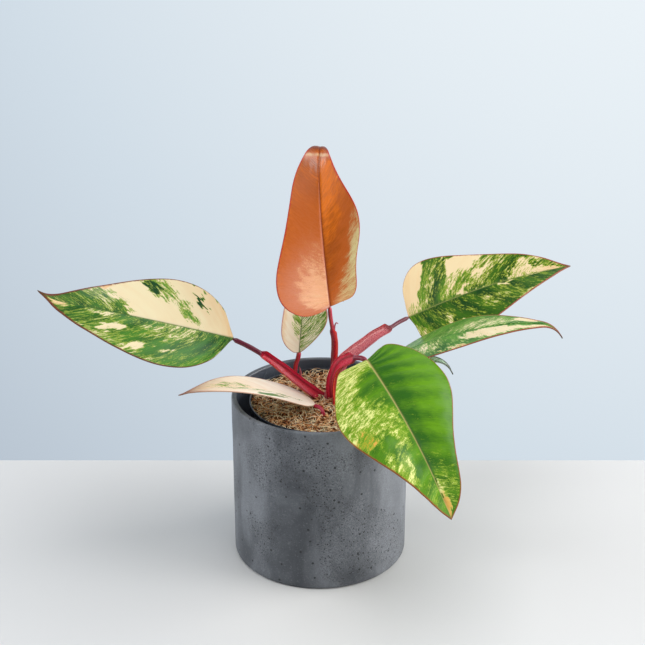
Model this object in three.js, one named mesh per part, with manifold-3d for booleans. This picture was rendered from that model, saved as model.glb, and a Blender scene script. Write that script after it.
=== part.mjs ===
import * as THREE from 'three';
import { mergeVertices } from 'three/addons/utils/BufferGeometryUtils.js';
import Module from 'manifold-3d';

// A potted philodendron with blotched leaves. It grows in a plastic nursery pot, which stands
// in a larger concrete cachepot. Millimetres and degrees, +Z up, the front is -Y.
// The origin is the middle of the cachepot's underside.

// Driving dimensions

const GAP = 0.3;

const CACHEPOT = { radius: 75, height: 147, wall: 4.5, floor: 8, rim: 1.6, foot: 3, corner: 5, sides: 56 };

// The nursery pot stands on the cachepot's floor, a little off its middle
const NURSERY = {
  x: 2,
  y: -1,
  height: 134,
  footRadius: 49,
  neckRadius: 59,
  lipRadius: 62,
  lipHeight: 9,
  wall: 1.2,
  sides: 44,
  drain: { radius: 4, circle: 30, count: 6 },
};

const MIX = { level: 138, rings: 7, sides: 36, swell: 1.5, lumps: 0.9 };

// The short stem, as radius and height of its joints above and below the mix
const STEM = {
  x: 12,
  y: 6,
  sides: 18,
  profile: [[4.5, 112], [6.5, 118], [5.8, 124], [7, 129], [6.3, 134], [6.8, 139], [5.2, 143], [3, 145.5]],
  bud: { path: [[8, 4, 136], [5.2, 2.4, 140], [4.6, 1.8, 144], [4.8, 1.6, 148]], radius: 1.9, tip: 0.5 },
};

// Blade thickness: at the midrib, its loss towards the margin, and the ridge under the midrib
const BLADE = { thick: 0.95, thinning: 0.15, ridge: 1.3, rows: 20, columns: [0.06, 0.3, 0.65, 1] };

// Half of a blade, base to tip: distance along the midrib, distance from it, and where the
// side vein to that point leaves the midrib. The first and last are shares of the length, the
// second is a share of the half's width.
const OUTLINE = [
  [0, 0, 0], [-0.035, 0.3, 0.006], [-0.012, 0.66, 0.02], [0.085, 0.92, 0.05], [0.25, 1, 0.14],
  [0.45, 0.88, 0.31], [0.65, 0.6, 0.52], [0.82, 0.29, 0.73], [0.93, 0.085, 0.88], [1, 0, 1],
];
const FRONT_LOBES = 5;
const FLATTEN = 0.15;

// Each leaf: where the blade starts, the direction and rise it leaves in, how far it droops and
// sways to the tip, its roll and twist about the midrib, and its length. hook bends the last
// stretch more, and from flatFrom the fold goes. full widens the outer half below 1 and narrows
// it above 1.
// A half has its width, the angle it folds up, how much that opens to the tip, its cup (bend
// per millimetre across), how far it leans to the tip, the depth of its base lobe, and the
// depth and phase of the slow ripple of its margin, which has two waves unless waves says more.
const LEAVES = {
  left: {
    base: [-72, 1.5, 197], heading: 181, rise: 14.5, droop: 6, bend: 1.3, sway: -6.5, roll: -25,
    twist: -3, length: 168, hook: -30, hookFrom: 0.85, full: 1.09,
    halves: [
      { width: 47, fold: 7, open: -0.5, cup: 0, lean: 0.13, lobe: -0.2, ripple: 0.08, phase: 0.54 },
      { width: 44, fold: 5, open: -4, cup: 0, lean: 0.12, lobe: 0, ripple: -0.08, phase: -0.02 },
    ],
  },
  low: {
    base: [-4, -12, 141.5], heading: 193, rise: 27, droop: 39, bend: 1.65, sway: 7, roll: 4.5,
    twist: 1.5, length: 121, hook: 0, hookFrom: 0.8, full: 1.04,
    halves: [
      { width: 26.8, fold: 5, open: 3.5, cup: 0, lean: 0.17, lobe: -0.16, ripple: -0.06, phase: 0.2 },
      { width: 27, fold: 4, open: -0.3, cup: 0, lean: 0.115, lobe: 0.9, ripple: 0.08, phase: -0.09 },
    ],
  },
  top: {
    base: [8.5, 0.5, 226], heading: 108, rise: 66.5, droop: 24.5, bend: 1.26, sway: -23, roll: 13.5,
    twist: -11, length: 157.5, hook: 100, hookFrom: 0.82, flatFrom: 0.68, full: 1.02,
    halves: [
      { width: 43.5, fold: 5, open: -3.5, cup: 0, lean: -0.04, lobe: 0.4, ripple: 0.17, phase: 0.59 },
      {
        width: 30.5, fold: 8, open: 9.5, cup: 0, lean: 0.08, lobe: 0.23, ripple: 0.11, phase: 0.63,
        waves: 3,
      },
    ],
  },
  back: {
    base: [-18, 35.5, 169], heading: 84.5, rise: 48.5, droop: 9.7, bend: 1.3, sway: -0.9, roll: -1.9,
    twist: 2.8, length: 82, hook: 0, hookFrom: 0.8, full: 0.96,
    halves: [
      { width: 18.5, fold: 21, open: -1, cup: 0, lean: 0.115, lobe: 1.15, ripple: 0.075, phase: -0.19 },
      { width: 21.5, fold: 21.3, open: -2.2, cup: 0, lean: 0.17, lobe: 0.6, ripple: 0.18, phase: 0.47 },
    ],
  },
  right: {
    base: [79, 80, 183.5], heading: 13.5, rise: 20, droop: 14.5, bend: 1.47, sway: -4.5, roll: 31,
    twist: -16.5, length: 155, hook: 0, hookFrom: 0.8, full: 0.82,
    halves: [
      { width: 46.5, fold: 5.5, open: -1, cup: 0, lean: 0.09, lobe: 0.29, ripple: -0.11, phase: 0.1 },
      { width: 47, fold: 10, open: 2.5, cup: 0, lean: 0.02, lobe: -0.11, ripple: 0.04, phase: 0.31 },
    ],
  },
  middle: {
    base: [71.5, 26, 173.5], heading: -16, rise: 29.5, droop: 36.5, bend: 1.46, sway: 5.5, roll: 0.5,
    twist: 2.5, length: 145.5, hook: 60, hookFrom: 0.85, full: 1.17,
    halves: [
      { width: 36, fold: -5.5, open: 2.5, cup: 0, lean: 0.03, lobe: 1.13, ripple: 0.06, phase: 0.22 },
      { width: 36, fold: 0, open: 1.5, cup: 0, lean: -0.03, lobe: 1, ripple: 0.05, phase: 0.19 },
    ],
  },
  front: {
    base: [38, -43, 197.5], heading: -63.5, rise: -18.5, droop: 10.5, bend: 1.25, sway: -7.5, roll: 5,
    twist: -11, length: 164.5, hook: 0, hookFrom: 0.8, full: 0.63,
    halves: [
      { width: 52, fold: -1, open: 11, cup: -0.0065, lean: -0.11, lobe: 0.52, ripple: 0.17, phase: 0.35 },
      { width: 50, fold: 5.5, open: 16, cup: -0.0062, lean: 0.08, lobe: -0.09, ripple: 0.14, phase: 1.16 },
    ],
  },
  small: {
    base: [62.5, 15, 156], heading: 3, rise: 32, droop: 36.5, bend: 1.12, sway: -10, roll: 6.5,
    twist: -9.5, length: 59.5, hook: 70, hookFrom: 0.6, full: 1.16,
    halves: [
      { width: 11, fold: 19.5, open: -2, cup: 0, lean: 0, lobe: 1, ripple: 0, phase: 0 },
      { width: 11.5, fold: 22.5, open: 0, cup: 0, lean: 0, lobe: 1, ripple: 0, phase: 0 },
    ],
  },
};

// Each leaf stalk: its path from the foot to the blade, which way its channel opens, the share
// of its length that is sheath, the sheath's half width, depth and hollow, how far its rims
// stand up, how much it slims towards its end, and the radius of the free part. The blade's
// start ends the path.
const STALKS = {
  left: {
    path: [
      [8, 5, 135.5], [2, 5, 139.5], [-17, 4.5, 155.2], [-40, 3.5, 175.5], [-55, 3, 186], [-62, 2.3, 190.6],
    ],
    opens: [0.2, -0.8, 1], sheath: 0.72, half: 4.8, depth: 4.8, hollow: 1.6, rims: 2, slim: 0.5, radius: 2.1,
  },
  low: {
    path: [[4, -23, 122], [3.8, -22, 131.7], [3.2, -20.5, 136.6], [1.8, -18, 139.4], [-0.7, -15, 141]],
    opens: [0, 0.3, 1], sheath: 0.3, half: 2.7, depth: 2.5, hollow: 0.8, rims: 0.8, slim: 0.3, radius: 1.8,
  },
  top: {
    path: [[12, 6, 143], [12, 5, 161.5], [12.5, 4, 178], [12.7, 3, 194.5], [10.6, 2, 205.5], [8.8, 1, 217.5]],
    opens: [0.9, 0.4, 0], sheath: 0.74, half: 3.5, depth: 3.5, hollow: 1.2, rims: 1.4, slim: 0.3, radius: 1.7,
  },
  back: {
    path: [[-22, 44, 122], [-22, 42, 140], [-21, 39, 156.5], [-19, 37, 163]],
    opens: [1, 0, 0.2], sheath: 0.52, half: 3, depth: 2.8, hollow: 0.8, rims: 0.9, slim: 0.4, radius: 2,
  },
  right: {
    path: [
      [15, 9, 131], [15, 12, 145], [16, 16, 156], [19, 23, 163.5], [27.5, 33, 169], [37.5, 43, 172.5],
      [50, 55, 177], [62.5, 66, 179.5], [70, 73, 181.5],
    ],
    opens: [-0.3, -1, 0.9], sheath: 0.8, half: 6, depth: 4, hollow: 1.8, rims: 2.2, slim: 0.35, radius: 1.8,
  },
  middle: {
    path: [[17, 7, 131], [23, 8.5, 142.5], [33, 12, 153], [48, 18, 162], [61, 23, 169]],
    opens: [0, -0.3, 1], sheath: 0.7, half: 3.4, depth: 3.2, hollow: 1.4, rims: 1.4, slim: 0.4, radius: 1.8,
  },
  front: {
    path: [
      [11.5, 2, 131], [10, -3, 143], [9.6, -7, 158], [11.5, -12, 171], [15, -19, 181.6], [21.4, -28, 190.2],
      [27.7, -35, 195.6], [33.3, -39, 197.4],
    ],
    opens: [-0.8, -0.6, 0.6], sheath: 0.84, half: 5.6, depth: 4.6, hollow: 1.8, rims: 2, slim: 0.15,
    radius: 2.1,
  },
  small: {
    path: [[16, 3, 131], [23, 0.5, 139.5], [36, 4, 147], [50, 10, 153]],
    opens: [0, -0.3, 1], sheath: 0.6, half: 2.3, depth: 2.2, hollow: 0.9, rims: 0.8, slim: 0.4, radius: 1.4,
  },
};
const STALK_STEPS = 16;
const STALK_SIDES = 12;
const SHEATH_END = 0.05;

// The curled tip that the top leaf's sheath ends in, and the pointed flap beside the back stalk
const TIPS = {
  top: {
    path: [[12, 2.6, 203], [12.6, 1.4, 209], [13.8, 0.9, 211.5], [15.2, 0.7, 210.6]],
    radius: 0.9, tip: 0.45,
  },
  back: {
    path: [[-17.4, 42, 140.4], [-17.2, 41.6, 144.9], [-17.3, 41, 149.1], [-18, 40.4, 152.7]],
    radius: 1.9, tip: 0.35,
  },
};

const COLOURS = {
  cachepot: 0x55585c, nursery_pot: 0x23262a, potting_mix: 0x7a5436, stem: 0x6d2030,
  blade_left: 0x4d8a3c, blade_low: 0xeadfcb, blade_top: 0xc76a35, blade_back: 0xb4b86a, blade_right: 0x5f9440,
  blade_middle: 0x7aa062, blade_front: 0x6fa02c, blade_small: 0x7d9c86, stalk: 0x9c1f35,
};

const radians = THREE.MathUtils.degToRad;

// Closed meshes

// Joins equal corners, drops triangles that have no area, and turns all faces outwards
function closed(geometry) {
  const bare = new THREE.BufferGeometry();
  bare.setAttribute('position', geometry.getAttribute('position'));
  bare.setIndex(geometry.getIndex());
  const merged = mergeVertices(bare, 1e-4);
  const index = merged.getIndex().array;
  const corner = [0, 1, 2].map(() => new THREE.Vector3());
  const position = merged.getAttribute('position');
  const kept = [];
  let volume = 0;
  for (let i = 0; i < index.length; i += 3) {
    const [a, b, c] = [index[i], index[i + 1], index[i + 2]];
    if (a === b || b === c || c === a) continue;
    [a, b, c].forEach((n, k) => corner[k].fromBufferAttribute(position, n));
    volume += corner[0].dot(corner[1].clone().cross(corner[2]));
    kept.push(a, b, c);
  }
  merged.setIndex(volume > 0 ? kept : kept.reverse());
  return merged;
}

function fromLists(points, triangles) {
  const geometry = new THREE.BufferGeometry();
  geometry.setAttribute('position', new THREE.Float32BufferAttribute(points.flat(), 3));
  geometry.setIndex(triangles);
  return closed(geometry);
}

const wasm = await Module();
wasm.setup();

function toSolid(geometry) {
  return new wasm.Manifold(new wasm.Mesh({
    numProp: 3,
    vertProperties: new Float32Array(geometry.getAttribute('position').array),
    triVerts: new Uint32Array(geometry.getIndex().array),
  }));
}

// The largest piece of a solid, as a geometry
function toGeometry(solid) {
  const whole = solid.decompose().sort((a, b) => b.volume() - a.volume())[0];
  const mesh = whole.getMesh();
  const geometry = new THREE.BufferGeometry();
  geometry.setAttribute('position', new THREE.BufferAttribute(new Float32Array(mesh.vertProperties), 3));
  geometry.setIndex(Array.from(mesh.triVerts));
  return geometry;
}

// A profile of [radius, height] turned about the vertical line through x, y
function turned(profile, sides, x = 0, y = 0) {
  const points = profile.map(([radius, height]) => new THREE.Vector2(radius, height));
  const lathe = new THREE.LatheGeometry(points, sides);
  lathe.rotateX(Math.PI / 2);
  lathe.translate(x, y, 0);
  return closed(lathe);
}

// A quarter round of a profile: centre, radius and the angle it starts at
function quarter(x, z, radius, from, turn = 90, steps = 3) {
  return Array.from({ length: steps + 1 }, (_, i) => {
    const angle = radians(from + (turn * i) / steps);
    return [x + radius * Math.cos(angle), z + radius * Math.sin(angle)];
  });
}

// Pots and mix

function cachepot() {
  const { radius, height, wall, floor, rim, foot, corner, sides } = CACHEPOT;
  const bore = radius - wall;
  return turned([
    [0, 0],
    ...quarter(radius - foot, foot, foot, -90),
    ...quarter(radius - rim, height - rim, rim, 0),
    ...quarter(bore + rim, height - rim, rim, 90),
    ...quarter(bore - corner, floor + corner, corner, 0, -90),
    [0, floor],
  ], sides);
}

const nurseryFoot = CACHEPOT.floor + GAP;

// The nursery pot's outer radius below its lip, at a height
function nurseryRadius(z) {
  const rise = NURSERY.height - NURSERY.lipHeight;
  return NURSERY.footRadius + ((NURSERY.neckRadius - NURSERY.footRadius) * (z - nurseryFoot)) / rise;
}

function nurseryPot() {
  const { x, y, height, footRadius, neckRadius, lipRadius, lipHeight, wall, sides, drain } = NURSERY;
  const top = nurseryFoot + height;
  const shell = toSolid(turned([
    [0, nurseryFoot],
    [footRadius, nurseryFoot],
    [neckRadius, top - lipHeight],
    [lipRadius, top - lipHeight],
    [lipRadius, top - wall / 2],
    [lipRadius - wall / 2, top],
    [lipRadius - wall, top - wall / 2],
    [lipRadius - wall, top - lipHeight + wall],
    [neckRadius - wall, top - lipHeight + wall],
    [footRadius - wall, nurseryFoot + wall],
    [0, nurseryFoot + wall],
  ], sides, x, y));
  let pierced = shell;
  for (let i = 0; i < drain.count; i += 1) {
    const angle = (2 * Math.PI * i) / drain.count;
    const hole = new THREE.CylinderGeometry(drain.radius, drain.radius, 4 * wall, 12);
    hole.rotateX(Math.PI / 2);
    hole.translate(x + drain.circle * Math.cos(angle), y + drain.circle * Math.sin(angle), nurseryFoot);
    pierced = pierced.subtract(toSolid(closed(hole)));
  }
  return toGeometry(pierced);
}

// Height of the mix: a slow swell with lumps on it
function mixHeight(x, y) {
  const swell = MIX.swell * Math.sin(x / 13 + 1) * Math.cos(y / 11);
  return MIX.level + swell + MIX.lumps * Math.sin(x / 5.3 + y / 6.1) * Math.cos(x / 8.7 - y / 4.9);
}

// Rings of points over the top, then the step under the lip, the tapered side and the underside
function pottingMix() {
  const { rings, sides, level } = MIX;
  const inset = NURSERY.wall + GAP;
  const bottom = nurseryFoot + inset;
  const points = [[NURSERY.x, NURSERY.y, mixHeight(NURSERY.x, NURSERY.y)]];
  const ring = (radius, height) => {
    for (let i = 0; i < sides; i += 1) {
      const angle = (2 * Math.PI * i) / sides;
      const x = NURSERY.x + radius * Math.cos(angle);
      const y = NURSERY.y + radius * Math.sin(angle);
      points.push([x, y, height ?? mixHeight(x, y)]);
    }
  };
  const neck = nurseryFoot + NURSERY.height - NURSERY.lipHeight;
  const seat = neck + inset;
  const full = NURSERY.lipRadius - inset;
  for (let i = 1; i <= rings; i += 1) ring((full * i) / rings);
  ring(full, seat);
  ring(nurseryRadius(neck) - inset, seat);
  ring(nurseryRadius(neck) - inset, neck);
  ring(nurseryRadius(bottom) - inset, bottom);
  points.push([NURSERY.x, NURSERY.y, bottom]);
  const triangles = [];
  for (let i = 0; i < sides; i += 1) {
    const next = (i + 1) % sides;
    triangles.push(0, 1 + i, 1 + next);
    for (let r = 0; r <= rings + 2; r += 1) {
      const [inner, outer] = [1 + r * sides, 1 + (r + 1) * sides];
      triangles.push(inner + i, outer + i, outer + next, inner + i, outer + next, inner + next);
    }
    const last = 1 + (rings + 3) * sides;
    triangles.push(points.length - 1, last + next, last + i);
  }
  return fromLists(points, triangles);
}

// Leaves

// A smooth curve through the rows of a table, at u from 0 to 1
function alongTable(table, u) {
  const last = table.length - 1;
  const at = Math.min(u * last, last - 1e-9);
  const i = Math.floor(at);
  const f = at - i;
  const row = (n, k) => {
    if (n < 0) return 2 * table[0][k] - table[1][k];
    if (n > last) return 2 * table[last][k] - table[last - 1][k];
    return table[n][k];
  };
  return table[0].map((_, k) => {
    const [p, q, r, s] = [row(i - 1, k), row(i, k), row(i + 1, k), row(i + 2, k)];
    const [bend, twist] = [2 * p - 5 * q + 4 * r - s, 3 * q - 3 * r + s - p];
    return q + 0.5 * ((r - p) * f + bend * f * f + twist * f ** 3);
  });
}

// The outline of one half of a leaf, with its lobe, fullness, lean and ripple
function halfOutline(leaf, half, u) {
  const table = OUTLINE.map(([along, across, root], i) => {
    const wide = i >= FRONT_LOBES ? across ** leaf.full : across;
    return [(along < 0 ? along * half.lobe : along) + half.lean * wide, wide, root];
  });
  const [along, across, root] = alongTable(table, u);
  const { ripple, phase, waves = 2 } = half;
  return [along, across * (1 + ripple * Math.sin(2 * Math.PI * (waves * u + phase))), root];
}

// Direction of the midrib, and the two directions across it, at a share t of the length
function leafFrame(leaf, t) {
  const c = Math.min(Math.max(t, 0), 1);
  const hooked = Math.max(0, (c - leaf.hookFrom) / (1 - leaf.hookFrom));
  const pitch = radians(leaf.rise - leaf.droop * c ** leaf.bend - leaf.hook * hooked);
  const turn = radians(leaf.heading + leaf.sway * c);
  const roll = radians(leaf.roll + leaf.twist * c);
  const ahead = new THREE.Vector3(Math.cos(turn), Math.sin(turn), 0);
  const along = ahead.multiplyScalar(Math.cos(pitch)).setZ(Math.sin(pitch));
  const level = new THREE.Vector3(-Math.sin(turn), Math.cos(turn), 0);
  const upright = new THREE.Vector3().crossVectors(along, level);
  const across = level.clone().multiplyScalar(Math.cos(roll)).addScaledVector(upright, Math.sin(roll));
  const up = upright.multiplyScalar(Math.cos(roll)).addScaledVector(level, -Math.sin(roll));
  return { along, across, up };
}

// Points of the midrib, summed up from short steps along its direction
const MIDRIB_STEPS = 80;
function midribPoints(leaf) {
  const points = [new THREE.Vector3(...leaf.base)];
  for (let i = 0; i < MIDRIB_STEPS; i += 1) {
    const [a, b] = [leafFrame(leaf, i / MIDRIB_STEPS).along, leafFrame(leaf, (i + 1) / MIDRIB_STEPS).along];
    points.push(points[i].clone().addScaledVector(a.add(b), leaf.length / MIDRIB_STEPS / 2));
  }
  return points;
}

function midribAt(leaf, points, t) {
  if (t <= 0) return points[0].clone().addScaledVector(leafFrame(leaf, 0).along, t * leaf.length);
  const at = Math.min(t * MIDRIB_STEPS, MIDRIB_STEPS - 1e-9);
  const i = Math.floor(at);
  return points[i].clone().lerp(points[i + 1], at - i);
}

// The direction away from the blade at its margin: along the midrib, and across it
function awayFromMargin(leaf, half, u) {
  const step = 0.01;
  const before = halfOutline(leaf, half, Math.max(u - step, 0));
  const after = halfOutline(leaf, half, Math.min(u + step, 1));
  const run = new THREE.Vector2((after[0] - before[0]) * leaf.length, (after[1] - before[1]) * half.width);
  run.normalize();
  return [-run.y, run.x];
}

// A point of the blade's middle surface and the surface's normal there. side is 1 for the left
// half and -1 for the right, s goes from 0 at the midrib to 1 at the margin.
function bladePoint(leaf, points, u, s, side, grow) {
  const half = leaf.halves[side > 0 ? 0 : 1];
  const [alongEdge, acrossEdge, root] = halfOutline(leaf, half, u);
  const [back, out] = awayFromMargin(leaf, half, u);
  const x = root + (alongEdge + (grow * back) / leaf.length - root) * s ** 1.4;
  const y = Math.max((half.width * acrossEdge + grow * out) * s, 0);
  const flat = Math.min(Math.max((x - (leaf.flatFrom ?? 2)) / FLATTEN, 0), 1);
  const fold = radians(half.fold + half.open * Math.min(Math.max(x, 0), 1)) * (1 - flat);
  const angle = fold + half.cup * y;
  const level = half.cup ? (Math.sin(angle) - Math.sin(fold)) / half.cup : y * Math.cos(fold);
  const lift = half.cup ? (Math.cos(fold) - Math.cos(angle)) / half.cup : y * Math.sin(fold);
  const { across, up } = leafFrame(leaf, x);
  const point = midribAt(leaf, points, x).addScaledVector(across, side * level).addScaledVector(up, lift);
  const tilt = s * angle;
  const normal = up.clone().multiplyScalar(Math.cos(tilt)).addScaledVector(across, -side * Math.sin(tilt));
  return { point, normal };
}

// The two ends of the midrib, where all columns of the blade meet
function bladeEnd(leaf, points, u, grow) {
  const { along, up } = leafFrame(leaf, u);
  return { point: midribAt(leaf, points, u).addScaledVector(along, u ? grow : -2 * grow), normal: up };
}

// Upper and under faces on one grid from midrib to margin, closed by a rim all round. grow
// makes it thicker and wider all round, for what has to stay clear of it.
function blade(leaf, grow = 0) {
  const { thick, thinning, ridge, rows, columns } = BLADE;
  const points = midribPoints(leaf);
  const shares = [...columns.map((s) => -s).reverse(), 0, ...columns];
  const [upper, under] = [[], []];
  for (let i = 0; i <= rows; i += 1) {
    const u = i / rows;
    for (const share of shares) {
      const side = share < 0 ? -1 : 1;
      const s = Math.abs(share);
      const at = i % rows ? bladePoint(leaf, points, u, s, side, grow) : bladeEnd(leaf, points, u, grow);
      const half = (thick - thinning * s * s) / 2 + grow;
      const keel = share === 0 && i % rows ? ridge * (1 - 0.8 * u) : 0;
      upper.push(at.point.clone().addScaledVector(at.normal, half).toArray());
      under.push(at.point.clone().addScaledVector(at.normal, -half - keel).toArray());
    }
  }
  const wide = shares.length;
  const shift = upper.length;
  const triangles = [];
  for (let i = 0; i < rows; i += 1) {
    for (let j = 0; j < wide - 1; j += 1) {
      const [a, b, c, d] = [i * wide + j, i * wide + j + 1, (i + 1) * wide + j + 1, (i + 1) * wide + j];
      triangles.push(a, b, c, a, c, d);
      triangles.push(shift + a, shift + c, shift + b, shift + a, shift + d, shift + c);
    }
    for (const j of [0, wide - 1]) {
      const [a, d] = [i * wide + j, (i + 1) * wide + j];
      const wall = [a, d, shift + d, a, shift + d, shift + a];
      triangles.push(...(j ? wall.reverse() : wall));
    }
  }
  return fromLists([...upper, ...under], triangles);
}

// Stalks

const smooth = (t) => THREE.MathUtils.smoothstep(t, 0, 1);

// The outward direction at a corner of a polygon, longer at a sharp corner
function cornerNormal(before, corner, after) {
  const first = new THREE.Vector2(corner[1] - before[1], before[0] - corner[0]).normalize();
  const second = new THREE.Vector2(after[1] - corner[1], corner[0] - after[0]).normalize();
  const between = first.clone().add(second).normalize();
  return between.divideScalar(Math.max(between.dot(first), 0.4));
}

// A tube of changing section along a path. section(t, angle) gives the offset to the side and
// towards the open side. Flat fans close both ends. grow makes it stand out further all round.
function swept(path, opens, section, steps, sides, grow = 0) {
  const curve = new THREE.CatmullRomCurve3(path.map((p) => new THREE.Vector3(...p)), false, 'centripetal');
  const facing = new THREE.Vector3(...opens);
  const centres = [];
  const points = [];
  for (let i = 0; i <= steps; i += 1) {
    const t = i / steps;
    const along = curve.getTangentAt(t);
    const centre = curve.getPointAt(t);
    if (i === 0) centre.addScaledVector(along, -grow);
    if (i === steps) centre.addScaledVector(along, grow);
    centres.push(centre);
    const open = facing.clone().addScaledVector(along, -along.dot(facing)).normalize();
    const side = new THREE.Vector3().crossVectors(along, open);
    const ring = Array.from({ length: sides }, (_, j) => section(t, (2 * Math.PI * j) / sides));
    ring.forEach(([out, up], j) => {
      const away = cornerNormal(ring.at(j - 1), ring[j], ring[(j + 1) % sides]).multiplyScalar(grow);
      const point = centre.clone().addScaledVector(side, out + away.x).addScaledVector(open, up + away.y);
      points.push(point.toArray());
    });
  }
  const [foot, tip] = [points.length, points.length + 1];
  points.push(centres[0].toArray(), centres[steps].toArray());
  const triangles = [];
  for (let j = 0; j < sides; j += 1) {
    const next = (j + 1) % sides;
    for (let i = 0; i < steps; i += 1) {
      const [a, b] = [i * sides, (i + 1) * sides];
      triangles.push(a + j, a + next, b + next, a + j, b + next, b + j);
    }
    triangles.push(foot, next, j, tip, steps * sides + j, steps * sides + next);
  }
  return fromLists(points, triangles);
}

// A stalk is a channel, open on one side, up to the end of its sheath, and round from there
function stalk(name, grow = 0) {
  const { path, opens, sheath, half, depth, hollow, rims, slim, radius } = STALKS[name];
  const section = (t, angle) => {
    const slimmed = (size) => size + (radius - size) * slim * Math.min(1, t / sheath) ** 2;
    const channel = 1 - smooth((t - sheath) / SHEATH_END + 0.5);
    const mix = (round, open) => round + (open - round) * channel;
    const reach = Math.sin(angle) > 0 ? mix(radius, -hollow) : mix(radius, slimmed(depth));
    const rim = mix(0, rims) * Math.cos(angle) ** 2;
    return [mix(radius, slimmed(half)) * Math.cos(angle), reach * Math.sin(angle) + rim];
  };
  return swept([...path, stalkEnd(LEAVES[name])], opens, section, STALK_STEPS, STALK_SIDES, grow);
}

// A stalk ends just behind and under the start of its blade
function stalkEnd(leaf) {
  const { along, up } = leafFrame(leaf, 0);
  return new THREE.Vector3(...leaf.base).addScaledVector(along, -0.5).addScaledVector(up, -0.8).toArray();
}

// A round tube that narrows to its tip
function tapered({ path, radius, tip }, grow = 0) {
  const section = (t, angle) => {
    const r = radius + (tip - radius) * t;
    return [r * Math.cos(angle), r * Math.sin(angle)];
  };
  return swept(path, [0, 1, 0.2], section, 6, 8, grow);
}

function stem(grow = 0) {
  const [low, high] = [STEM.profile[0][1], STEM.profile.at(-1)[1]];
  const outline = STEM.profile.map(([radius, height]) => [radius + grow, height]);
  const core = turned([[0, low - 1 - grow], ...outline, [0, high + 0.5 + grow]], STEM.sides, STEM.x, STEM.y);
  return toSolid(core).add(toSolid(tapered(STEM.bud, grow)));
}

// Assembly

const plant = new THREE.Group();

function place(name, geometry, colour, roughness) {
  const material = new THREE.MeshStandardMaterial({ color: colour, roughness, metalness: 0 });
  const mesh = new THREE.Mesh(geometry, material);
  mesh.name = name;
  plant.add(mesh);
}

place('cachepot', cachepot(), COLOURS.cachepot, 0.85);
place('nursery_pot', nurseryPot(), COLOURS.nursery_pot, 0.35);

const grownStem = stem(GAP);

// Stalks clasp the stem and one another at the foot, so each is cut clear of those before it
const ORDER = ['front', 'left', 'top', 'right', 'middle', 'small', 'low', 'back'];
const earlier = [grownStem];
for (const name of ORDER) {
  let solid = toSolid(stalk(name));
  if (name in TIPS) solid = solid.add(toSolid(tapered(TIPS[name])));
  for (const other of [...earlier, toSolid(blade(LEAVES[name], GAP))]) solid = solid.subtract(other);
  place(`stalk_${name}`, toGeometry(solid), COLOURS.stalk, 0.4);
  earlier.push(toSolid(stalk(name, GAP)));
}

place('stem', toGeometry(stem()), COLOURS.stem, 0.5);
let mix = toSolid(pottingMix());
for (const other of earlier) mix = mix.subtract(other);
place('potting_mix', toGeometry(mix), COLOURS.potting_mix, 1);

for (const [name, leaf] of Object.entries(LEAVES)) {
  place(`blade_${name}`, blade(leaf), COLOURS[`blade_${name}`], 0.4);
}

export default plant;
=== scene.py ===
import math
from collections import namedtuple
from types import SimpleNamespace

import bmesh
import bpy
import numpy as np
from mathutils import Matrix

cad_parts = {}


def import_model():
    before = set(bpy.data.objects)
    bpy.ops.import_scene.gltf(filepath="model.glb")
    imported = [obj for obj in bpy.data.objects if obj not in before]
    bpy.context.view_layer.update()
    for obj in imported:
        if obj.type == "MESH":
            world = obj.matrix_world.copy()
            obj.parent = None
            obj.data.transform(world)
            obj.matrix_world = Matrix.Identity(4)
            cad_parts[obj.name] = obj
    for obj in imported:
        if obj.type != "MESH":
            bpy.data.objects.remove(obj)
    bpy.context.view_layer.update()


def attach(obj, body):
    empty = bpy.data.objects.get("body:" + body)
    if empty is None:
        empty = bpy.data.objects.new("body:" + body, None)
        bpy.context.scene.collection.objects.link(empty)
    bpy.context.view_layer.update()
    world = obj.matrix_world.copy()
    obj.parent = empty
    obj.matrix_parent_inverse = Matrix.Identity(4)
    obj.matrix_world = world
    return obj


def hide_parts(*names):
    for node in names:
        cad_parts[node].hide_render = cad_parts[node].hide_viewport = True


# A potted philodendron with blotched leaves on red sheathed stalks, in a dark plastic nursery
# pot that stands in a round concrete cachepot. Sizes are millimetres and degrees, and every
# mesh is scaled to metres when it is made.

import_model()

MM = 0.001
TURN = 2 * math.pi

# Pots and mix

CACHEPOT = SimpleNamespace(radius=75, height=147, wall=4.5, floor=8, rim=1.6, foot=3, corner=5, sides=240)
NURSERY = SimpleNamespace(height=134, foot=49, neck=59, lip=62, lip_height=9, wall=1.2, sides=144)
NURSERY_AXIS = [2, -1]
GAP = 0.3
NURSERY_FOOT = CACHEPOT.floor + GAP
DRAINS = SimpleNamespace(count=6, radius=4, circle=30, below=3, above=5, sides=24)
WELD = .05
MIX = SimpleNamespace(level=138, swell=1.5, lumps=.9, rings=56, sides=150)

# Leaves. Each half of a blade, base to tip: distance along the midrib, distance from it, and
# where the side vein to that point leaves the midrib. The fullness acts from row FRONT_LOBES on,
# and a fold goes within FLATTEN of the blade's length.

OUTLINE = np.array([
    [0, 0, 0], [-.035, .3, .006], [-.012, .66, .02], [.085, .92, .05], [.25, 1, .14],
    [.45, .88, .31], [.65, .6, .52], [.82, .29, .73], [.93, .085, .88], [1, 0, 1],
])
FRONT_LOBES = 5
FLATTEN = .15
BLADE = SimpleNamespace(thick=.95, thinning=.15, ridge=1.3, rows=190, half_columns=40)

# Each half: its width, the angle of its fold and how far that opens towards the tip, how much it
# cups, how far its outline leans towards the tip, the size of its base lobe, and a ripple of the
# margin with its phase and number of waves. Each leaf: the place of the blade's base, heading and
# rise of the midrib there, how far it droops towards the tip and with which power, how far it
# sways to the side, its roll and twist, its length, how far the tip hooks and from where, how full
# it is towards the tip, its left and its right half, and from where it flattens.

Half = namedtuple("Half", "width fold opening cup lean lobe ripple phase waves", defaults=[2])
Leaf = namedtuple("Leaf", "base heading rise droop bend sway roll twist length hook hook_from full halves"
                  " flat_from", defaults=[2])

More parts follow.
